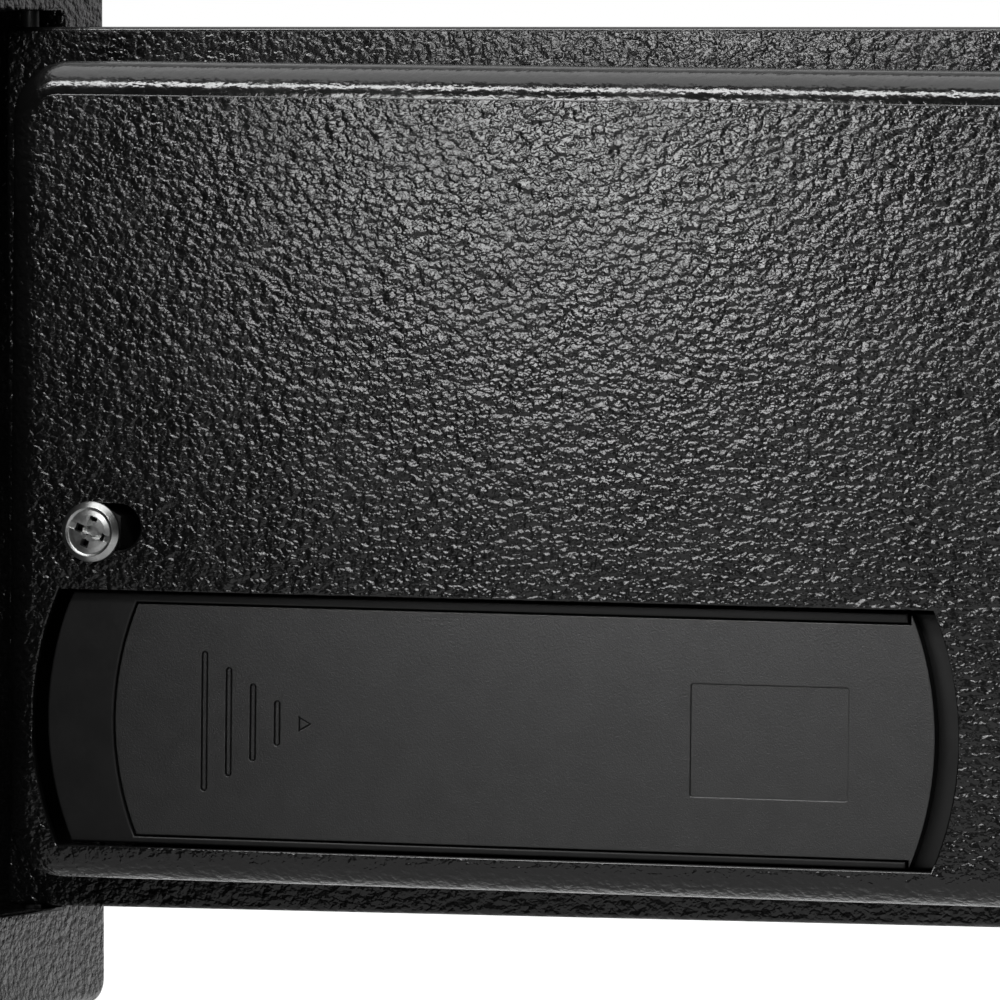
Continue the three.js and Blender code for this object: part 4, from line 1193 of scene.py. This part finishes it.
@dataclass
class BatteryBay:
    """The battery box, its sliding lid and what it holds.

    Attributes:
        face, seat, flange: the levels of the lid's face, of what it slides on, and of the flange's back.
        bay, bulge: the flange's left, right, low and high, and how far its ends bow out.
        tray, floor, wall: the tray's left, right, low and high, its back's level and its thickness.
        divider: the left, right, low and high of the rib that the cells end at.
        leg_columns, leg_rows: where the box stands on the door.
        rail_end: where the rails end.
        lid_left, lid_right, lid_low, lid_high: the lid.
        lid_gap, lid_bow: the gap round the lid, and how far its left end bows out.
        grips: the lengths of the lid's grip slots.
        panel: the left, right, low, high and corner of the lid's shallow panel.
        middle: the lid's middle line.
        rows, starts, cell_height: where the cells lie.
    """

    face: float = 32.15
    seat: float = 30.0
    flange: float = 28.2
    bay: tuple = (19.3, 165.3, 11.5, 50.0)
    bulge: float = 4.1
    tray: tuple = (36, 158, 14.3, 47.2)
    floor: float = 13.2
    wall: float = 1.2
    divider: tuple = (143.4, 144.6, 15, 46.5)
    leg_columns: tuple = (44, 150)
    leg_rows: tuple = (19.5, 42)
    rail_end: float = 157.0
    lid_left: float = 30.4
    lid_right: float = 161.4
    lid_low: float = 12.9
    lid_high: float = 48.2
    lid_gap: float = 0.3
    lid_bow: float = 3.6
    grips: tuple = (21.4, 16.7, 11.9, 7.0)
    panel: tuple = (122.9, 147.8, 21.4, 38.5, 0.4)
    middle: float = 30.55
    rows: tuple = (23.4, 38.1)
    starts: tuple = (40.4, 91.2)
    cell_height: float = 21.7

    def build(self) -> None:
        """Build and dress the box, the lid, the cells and the contacts."""
        self.box()
        self.lid()
        number = 1
        for w, facing, side in ((self.rows[0], 1, "lower"), (self.rows[1], -1, "upper")):
            for start in self.starts:
                self.cell(f"battery_{number}", start, w, facing)
                number += 1
            self.contact("contact_spring_" + side, w)
        dress(ZINC, "contact_link")
        dress(RED_ABS, "reset_button")

    def box(self) -> None:
        """Build the box: a flange with rails round the lid, over a tray for four cells."""
        left, right, low, high = self.tray
        wall = self.wall
        back = self.floor + wall
        mouth = rounded(left + wall, right - wall, low + wall, high - wall, 0.8, 3)
        form = Form()
        form.slab(bowed(*self.bay, self.bulge), self.flange, self.seat, (Hole(mouth),), top=Ease(0.25, 3))
        form.slab(self.rails(), self.seat - 0.3, self.face, top=Ease(0.3, 3))
        tray = rounded(*self.tray, 1.0, 3)
        form.slab(tray, back, self.flange + 0.4, (Hole(mouth, SHARP),), top=SHARP)
        form.slab(tray, self.floor, back + 0.1, top=SHARP)
        form.slab(rounded(*self.divider, 0.5, 2), back - 0.4, self.flange - 0.6, top=SLIGHT)
        foot, head, radius = 0.2, self.floor + 0.3, 3
        leg = [(0, foot), (radius, foot), (radius, head), (0, head)]
        for u in self.leg_columns:
            for w in self.leg_rows:
                form.turned_at(u, w, leg, 24)
        piece(form, "battery_box", Place.BATTERY, SATIN_ABS)

    def rails(self) -> Loop:
        """Outline what stands proud of the flange: its left end, and a rail along each long side."""
        left, _, low, high = self.bay
        lid_low = self.lid_low - self.lid_gap
        lid_high = self.lid_high + self.lid_gap
        pocket = bow(self.lid_left - self.lid_gap, lid_low, lid_high, self.lid_bow, -1)
        end = self.rail_end
        ends = bow(left, low, high, self.bulge, -1)
        return [(end, low), (end, lid_low), *reversed(pocket), (end, lid_high), (end, high), *ends]

    def cell(self, node: str, start: float, w: float, facing: int) -> None:
        """Build a cell: a steel can in a printed sleeve with a pale band, its button at one end.

        Args:
            node: the CAD node that it replaces.
            start, w: where its near end and its middle line are.
            facing: 1 if its button is at the far end, otherwise -1.
        """
        radius, length, can, nub = 7.05, 50.5, 49.2, 2.7
        sleeve, steel, band = 0, 1, 2
        run = [(0, 0.3), (4.2, 0.3), (4.5, 0), (6.3, 0), (6.4, 0.1), (radius, 0.5), (radius, can - 10)]
        run += [(radius, can - 0.5), (6.4, can - 0.1), (6.2, can - 0.4), (nub, can - 0.2)]
        run += [(nub, length - 0.3), (nub - 0.3, length), (0, length)]
        form = Form()
        form.turned(run, 40, paints=(*[steel] * 5, sleeve, sleeve, band, band, *[steel] * 5))
        if facing > 0:
            along = axes((start, w, self.cell_height), (0, 1, 0), (0, 0, 1), (1, 0, 0))
        else:
            along = axes((start + length, w, self.cell_height), (0, 0, 1), (0, 1, 0), (-1, 0, 0))
        piece(form, node, Place.BATTERY @ along, SLEEVE, STEEL, SLEEVE_BAND)

    def contact(self, node: str, w: float) -> None:
        """Build an end contact: a zinc-plated blade with a conical wire spring."""
        width, sheet, foot, head = 12, 0.5, 14.7 - self.cell_height, 6
        form = Form()
        blade = rounded(-width / 2, width / 2, foot, head, 0.8, 3)
        form.slab(blade, 0, sheet, top=Ease(0.1, 1), bottom=Ease(0.1, 1))
        form.tube(coil(0.75, 2.6, 4, 16, (3.3, 1.7)), 0.25, 8)
        along = axes((self.tray[0] + self.wall + 0.1, w, self.cell_height), (0, 1, 0), (0, 0, 1), (1, 0, 0))
        piece(form, node, Place.BATTERY @ along, ZINC)

    def lid(self) -> None:
        """Build the sliding lid with its grip slots, arrow and shallow panel."""
        low, high = self.bay[2:]
        left_end = bow(self.lid_left, self.lid_low, self.lid_high, self.lid_bow, -1)
        right_end = bow(self.lid_right, low, high, 3.9, 1)
        shoulder = right_end[0][0]
        outline = [(shoulder, self.lid_low), *right_end, (shoulder, self.lid_high), *left_end]
        first, pitch = 44.9, 3.93
        middle = self.middle
        holes = []
        for i, length in enumerate(self.grips):
            slot = stadium(first + pitch * i, middle - length / 2, middle + length / 2, 1.0)
            holes.append(Hole(slot, Ease(0.1, 2), depth=0.6, rib=0.1))
        back, tip, half = 60.2, 62.3, 1.2
        arrow = [(back, middle - half), (tip, middle), (back, middle + half)]
        holes.append(Hole(arrow, Ease(0.1, 2), depth=0.5, rib=0.1))
        holes.append(Hole(rounded(*self.panel, 3), Ease(0.12, 2), depth=0.25))
        form = Form()
        form.slab(outline, self.seat + 0.1, self.face, tuple(holes), top=Ease(0.12, 2))
        piece(form, "battery_cover", Place.BATTERY, GRAINED_ABS)


@dataclass
class Keypad:
    """The keypad on the outside of the door.

    Attributes:
        outer, height: where it sits on the door, and how far it stands off.
        sides, corner, wall: the fascia's left, right, low and high, its corners and its thickness.
        columns, rows, names: where the keys are, and their names column by column.
        key_size, foot_size: the width and height of a key's top and of its foot under the fascia.
        key_gap: the gap round a key.
        key_rise: how far a key stands proud of the fascia.
        lamp_row: how high the lamps are.
    """

    outer: float = -5.2
    height: float = 7.0
    sides: tuple = (-136, -38, 58, 126)
    corner: float = 12
    wall: float = 2
    columns: tuple = (85, 72, 59)
    rows: tuple = (106, 94.5, 83, 71.5)
    names: tuple = (("1", "4", "7", "star"), ("2", "5", "8", "0"), ("3", "6", "9", "hash"))
    key_size: tuple = (9.6, 7.6)
    foot_size: tuple = (11.6, 9.6)
    key_gap: float = 0.3
    key_rise: float = 1.3
    lamp_row: float = 117

    def build(self) -> None:
        """Build and dress the fascia, the keys, the lamps and the keyhole cap."""
        flipped = axes((0, 0, self.outer), (-1, 0, 0), (0, 1, 0), (0, 0, -1))
        place = Place.DOOR @ flipped
        self.fascia(place)
        for u, names in zip(self.columns, self.names):
            for w, name in zip(self.rows, names):
                self.key(place, name, -u, w)
        colours = (("red", RED_ABS), ("amber", AMBER_ABS), ("green", GREEN_ABS))
        for u, (name, finish) in zip(self.columns, colours):
            self.lamp("lamp_" + name, place @ Matrix.Translation((-u, self.lamp_row, 0)), finish)
        self.cap(place @ Matrix.Translation((-LOCK_AXIS[0], LOCK_AXIS[1], 0)))
        dress(RUBBER, "keypad_membrane")

    def fascia(self, place: Matrix) -> None:
        """Build the fascia, hollow behind, with openings for the keys, lamps and lock."""
        lock_port, lamp_port = 17, 3.4
        opening = [side + 2 * self.key_gap for side in self.key_size]
        holes = [Hole(circle(-LOCK_AXIS[0], LOCK_AXIS[1], lock_port, 40), Ease(0.4, 3))]
        for u in self.columns:
            holes.append(Hole(circle(-u, self.lamp_row, lamp_port, 20)))
            for w in self.rows:
                holes.append(Hole(pad(-u, w, opening, 0.8, 3)))
        form = Form()
        outline = rounded(*self.sides, self.corner, 12)
        form.slab(outline, self.height - self.wall, self.height, tuple(holes), top=Ease(1.5, 6))
        left, right, low, high = self.sides
        wall = self.wall
        hollow = rounded(left + wall, right - wall, low + wall, high - wall, self.corner - wall, 12)
        form.slab(outline, 0, self.height - wall + 0.1, (Hole(hollow, SHARP),), top=SHARP)
        piece(form, "keypad_fascia", place, GRAINED_ABS)

    def key(self, place: Matrix, name: str, x: float, y: float) -> None:
        """Build a key with a plain character on it."""
        top = self.height + self.key_rise
        form = Form()
        form.slab(pad(x, y, self.key_size, 1.0, 4), self.height - 3, top, top=Ease(0.6, 4))
        form.slab(pad(x, y, self.foot_size, 1.2, 4), self.height - 3.3, self.height - 2.3)
        form.paint = 1
        if name == "star":
            text, size, drop = "*", 8.0, 1.2
        else:
            text, size, drop = name.replace("hash", "#"), 5.2, 0
        form.lettering(text, size, 0.08, Matrix.Translation((x, y - drop, top)))
        piece(form, "key_" + name, place, KEY_ABS, LEGEND)

    def lamp(self, node: str, place: Matrix, finish: Finish) -> None:
        """Build a lamp: a tinted lens with a rim that holds it behind the fascia."""
        rim, lens, top = 1.9, 1.5, self.height
        run = [(0, top - 4), (rim, top - 4), (rim, top - 2.2), (lens, top - 2.2), (lens, top + 0.4)]
        run += [(1.1, top + 1.0), (0.6, top + 1.25), (0, top + 1.3)]
        form = Form()
        form.turned(filleted(run, 0.2, 3), 32)
        piece(form, node, place, finish)

    def cap(self, place: Matrix) -> None:
        """Build the cap over the keyhole, with a ring round its face."""
        plug, edge, ring, top = 8.1, 9.6, 5.6, self.height
        run = [(0, top - 1.6), (plug, top - 1.6), (plug, top + 0.1), (edge, top + 0.1), (edge, top + 1.2)]
        run += [(edge - 0.6, top + 1.8), (ring, top + 1.8), (ring - 0.3, top + 1.5), (0, top + 1.5)]
        form = Form()
        form.turned(filleted(run, 0.35, 3), 56)
        piece(form, "keyhole_cap", place, GRAINED_ABS)


@dataclass
class KnobDrive:
    """The knob, its spindle, the crank and the bush.

    Attributes:
        skirt, grip: the knob's radius at the door and at its grip.
        depth: how far the knob stands off.
        flutes: the hollows round its grip.
        pointer: the left, right, low and high of its pointer line.
    """

    skirt: float = 13
    grip: float = 11.5
    depth: float = 19
    flutes: Flutes = Flutes(count=12, depth=1.6, start=4.5, end=7.5)
    pointer: tuple = (-0.5, 0.5, 2.5, 7.2)

    def build(self) -> None:
        """Build and dress the knob and what it turns."""
        flipped = axes((*SPINDLE_AXIS, -6.3), (-1, 0, 0), (0, 1, 0), (0, 0, -1))
        dish = self.depth - 0.3
        run = [(0, 0), (self.skirt, 0), (self.skirt, 3.4), (11.9, 5), (self.grip, 17.4), (10.2, self.depth)]
        run += [(8.2, self.depth), (7.9, dish), (0, dish)]
        form = Form()
        form.turned(filleted(run, 0.8, 4), 144, self.flutes)
        form.paint = 1
        form.slab(rounded(*self.pointer, 0.45, 4), dish - 0.1, dish + 0.06, top=Ease(0.05, 1))
        piece(form, "knob", Place.DOOR @ flipped, GRAINED_ABS, WHITE_INK)
        dress(STEEL, "knob_spindle")
        dress(ZINC, "crank_arm")
        dress(BRASS, "spindle_bush")


@dataclass
class BoltWork:
    """Two bolts, the carriage that joins them and their guide.

    Attributes:
        radius, rear, tip: a bolt's radius and its two ends.
        rivet: the radius of the end that is riveted to the carriage.
        height: how far off the door its middle line is.
        bolts: each bolt's node and how high it is.
    """

    radius: float = 7
    rear: float = 167.6
    tip: float = 196.5
    rivet: float = 2.9
    height: float = 9.5
    bolts: tuple = (("bolt_lower", 36), ("bolt_upper", 112))

    def build(self) -> None:
        """Build and dress the bolts; the carriage and guide keep their solids."""
        tail, bevel = self.rear - 2.4, 1.2
        run = [(0, tail), (self.rivet, tail), (self.rivet, self.rear), (self.radius, self.rear)]
        run += [(self.radius, self.tip - bevel), (self.radius - bevel, self.tip), (0, self.tip)]
        for node, w in self.bolts:
            form = Form()
            form.turned(filleted(run, 0.5, 4), 64)
            along = axes((0, w, self.height), (0, 1, 0), (0, 0, 1), (1, 0, 0))
            piece(form, node, Place.DOOR @ along, NICKEL)
        dress(ZINC, "bolt_carriage", "bolt_bracket")


@dataclass
class Works:
    """The hidden works: electronics, solenoid and override lock.

    Attributes:
        plunger_axis: the plunger's distance from the hinge edge and from the door.
        spring_low, spring_high, spring_radius, spring_turns: the plunger's spring.
    """

    plunger_axis: tuple = (150, 10)
    spring_low: float = 102.8
    spring_high: float = 107.6
    spring_radius: float = 3.4
    spring_turns: int = 5

    def build(self) -> None:
        """Dress the nodes that keep their solids, and build the plunger's spring."""
        dress(LAMINATE, "circuit_board")
        dress(SATIN_ABS, "buzzer")
        dress(ZINC, "solenoid_frame", "override_lock_nut")
        dress(COPPER, "solenoid_coil")
        dress(STEEL, "solenoid_plunger", "override_cam")
        dress(NICKEL, "override_lock_body")
        dress(BRASS, "override_plug")
        self.spring()

    def spring(self) -> None:
        """Build the plunger's spring as a wire coil."""
        u, out = self.plunger_axis
        upright = axes((u, 0, out), (1, 0, 0), (0, 0, 1), (0, 1, 0))
        radii = (self.spring_radius, self.spring_radius)
        path = coil(self.spring_low, self.spring_high, self.spring_turns, 24, radii)
        form = Form()
        form.tube([upright @ point for point in path], 0.32)
        piece(form, "plunger_spring", Place.DOOR, STEEL)


# The studio


@dataclass
class Studio:
    """The camera, floor, lamps and world.

    Attributes:
        azimuth, elevation, roll: the way the camera looks, in degrees.
        lens: its focal length on a 36 mm frame.
        target, distance: what it looks at, and from how far.
        glossy_share: how much of the floor's white the object's shine shows in front of the door.
        pale_from: between which x the floor turns to its full white in that shine.
        behind: the way to the pale cove.
        cove, ceiling: how bright the cove is, low to high, and the ceiling.
        floor_diameter, floor_glow: the round floor, and how near its glow is to white.
    """

    azimuth: float = -63.721
    elevation: float = 2.248
    roll: float = -0.039
    lens: float = 466.97
    target: tuple = (72.978, -174.648, 82.059)
    distance: float = 1962.7
    glossy_share: float = 0.35
    pale_from: tuple = (75.0, 110.0)
    behind: tuple = (0.896, 0.443, 0)
    cove: tuple = (0.02, 0.52)
    ceiling: float = 2.2
    floor_diameter: float = 700
    floor_glow: float = 0.93

    def build(self) -> None:
        """Set up everything that isn't part of the object."""
        self.camera()
        self.floor()
        self.world()
        door = (70, -150, 85)
        self.lamp("gridded_lamp", (-86, -156, 145), (80, -215, 120), (80, 50), 4.25, spread=94)
        self.lamp("top_strip", (-424, -45, 540), door, (1000, 95), 20.0)
        self.lamp("side_softbox", (1322, -816, 573), door, (1100, 1000), 0.41)

    def camera(self) -> None:
        """Place the camera at the photograph's view."""
        az, el, roll = (math.radians(a) for a in (self.azimuth, self.elevation, self.roll))
        back = Vector((math.sin(az) * math.cos(el), -math.cos(az) * math.cos(el), math.sin(el)))
        right = Vector((math.cos(az), math.sin(az), 0))
        up = back.cross(right)
        turned_right = right * math.cos(roll) + up * math.sin(roll)
        turned_up = up * math.cos(roll) - right * math.sin(roll)
        data = bpy.data.cameras.new("camera")
        data.sensor_width = 36
        data.lens = self.lens
        data.clip_start = 0.1
        data.clip_end = 60
        camera = bpy.data.objects.new("camera", data)
        turn = Matrix((turned_right, turned_up, back)).transposed().to_4x4()
        camera.matrix_world = Matrix.Translation((Vector(self.target) + back * self.distance) * MM) @ turn
        bpy.context.scene.collection.objects.link(camera)
        bpy.context.scene.camera = camera

    def seen(self, tree: Tree) -> Socket:
        """Give 1 to camera and transmission rays; a glossy ray sees the floor pale only behind the door."""
        path = add_node(tree, "LightPath").outputs
        coords = add_node(tree, "TexCoord").outputs["Object"]
        across = add_node(tree, "SeparateXYZ", {0: coords}).outputs[0]
        low, high = (x * MM for x in self.pale_from)
        share = spread(tree, across, low, high, (self.glossy_share, 1.0))
        glossy = combine(tree, "MULTIPLY", path["Is Glossy Ray"], share)
        first = combine(tree, "MAXIMUM", path["Is Camera Ray"], glossy)
        return combine(tree, "MAXIMUM", first, path["Is Transmission Ray"])

    def floor(self) -> None:
        """Lay a plain pale floor that keeps the object's shadow."""
        form = Form()
        form.face(tuple(form.ring([(x, y, 0) for x, y in circle(0, -60, self.floor_diameter, 96)])))
        made = bpy.data.materials.new("pale_matt_floor")
        made.use_nodes = True
        tree = made.node_tree
        tree.nodes.clear()
        shader = add_node(tree, "BsdfDiffuse", {"Color": linear("#8c8c8c")})
        strength = combine(tree, "MULTIPLY", self.seen(tree), self.floor_glow)
        glow = add_node(tree, "Emission", {"Color": linear("#ffffff"), "Strength": strength})
        both = add_node(tree, "AddShader", {0: shader.outputs[0], 1: glow.outputs[0]})
        add_node(tree, "OutputMaterial", {"Surface": both.outputs[0]})
        floor = mesh_of(form, "floor", Matrix.Translation((0, 0, -0.05)), ())
        floor.data.materials.append(made)

    def world(self) -> None:
        """Light the room: white behind and above the object, dark on the camera's side."""
        world = bpy.data.worlds.new("studio")
        world.use_nodes = True
        tree = world.node_tree
        tree.nodes.clear()
        cove = spread(tree, self.towards(tree, self.behind), 0.1, 0.95, self.cove)
        ceiling = spread(tree, self.towards(tree, (0, 0, 1)), 0.78, 0.86, (0.0, self.ceiling))
        strength = combine(tree, "MAXIMUM", cove, ceiling)
        white = linear("#ffffff")
        room = add_node(tree, "Background", {"Color": white, "Strength": strength})
        backdrop = add_node(tree, "Background", {"Color": white, "Strength": 1.0})
        camera_ray = add_node(tree, "LightPath").outputs["Is Camera Ray"]
        mixed = add_node(tree, "MixShader", {0: camera_ray, 1: room.outputs[0], 2: backdrop.outputs[0]})
        add_node(tree, "OutputWorld", {"Surface": mixed.outputs[0]})
        bpy.context.scene.world = world

    @staticmethod
    def towards(tree: Tree, way: tuple) -> Socket:
        """Give how nearly a direction of the world points a way, 1 where it does."""
        direction = add_node(tree, "TexCoord").outputs["Generated"]
        return add_node(tree, "VectorMath", {0: direction, 1: way}, operation="DOT_PRODUCT").outputs["Value"]

    @staticmethod
    def lamp(name: str, place: tuple, aim: tuple, size: tuple, radiance: float, spread: float = 180) -> None:
        """Hang a softbox.

        Args:
            name: the lamp's name.
            place, aim: where it hangs and what it looks at, in mm.
            size: its width and height, in mm.
            radiance: how bright its face is, where 1 is white.
            spread: how widely its light fans out, in degrees, less than 180 behind a grid.
        """
        data = bpy.data.lights.new(name, "AREA")
        data.shape = "RECTANGLE"
        data.size, data.size_y = size[0] * MM, size[1] * MM
        data.energy = radiance * math.pi * data.size * data.size_y
        data.spread = math.radians(spread)
        lamp = bpy.data.objects.new(name, data)
        away = Vector(place) - Vector(aim)
        turn = away.to_track_quat("Z", "Y").to_matrix().to_4x4()
        lamp.matrix_world = Matrix.Translation(Vector(place) * MM) @ turn
        lamp.visible_camera = False
        bpy.context.scene.collection.objects.link(lamp)


def main() -> None:
    """Build the safe in order, then the studio round it."""
    logging.basicConfig(level=logging.INFO, format="%(name)s: %(message)s")
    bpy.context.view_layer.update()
    bpy.context.scene.view_settings.view_transform = "Standard"
    for kind in (SafeBody, DoorLeaf, InnerCover, BatteryBay, Keypad, KnobDrive, BoltWork, Works):
        LOG.info("building %s", kind.__name__)
        kind().build()
    Studio().build()


if __name__ == "__main__":
    main()
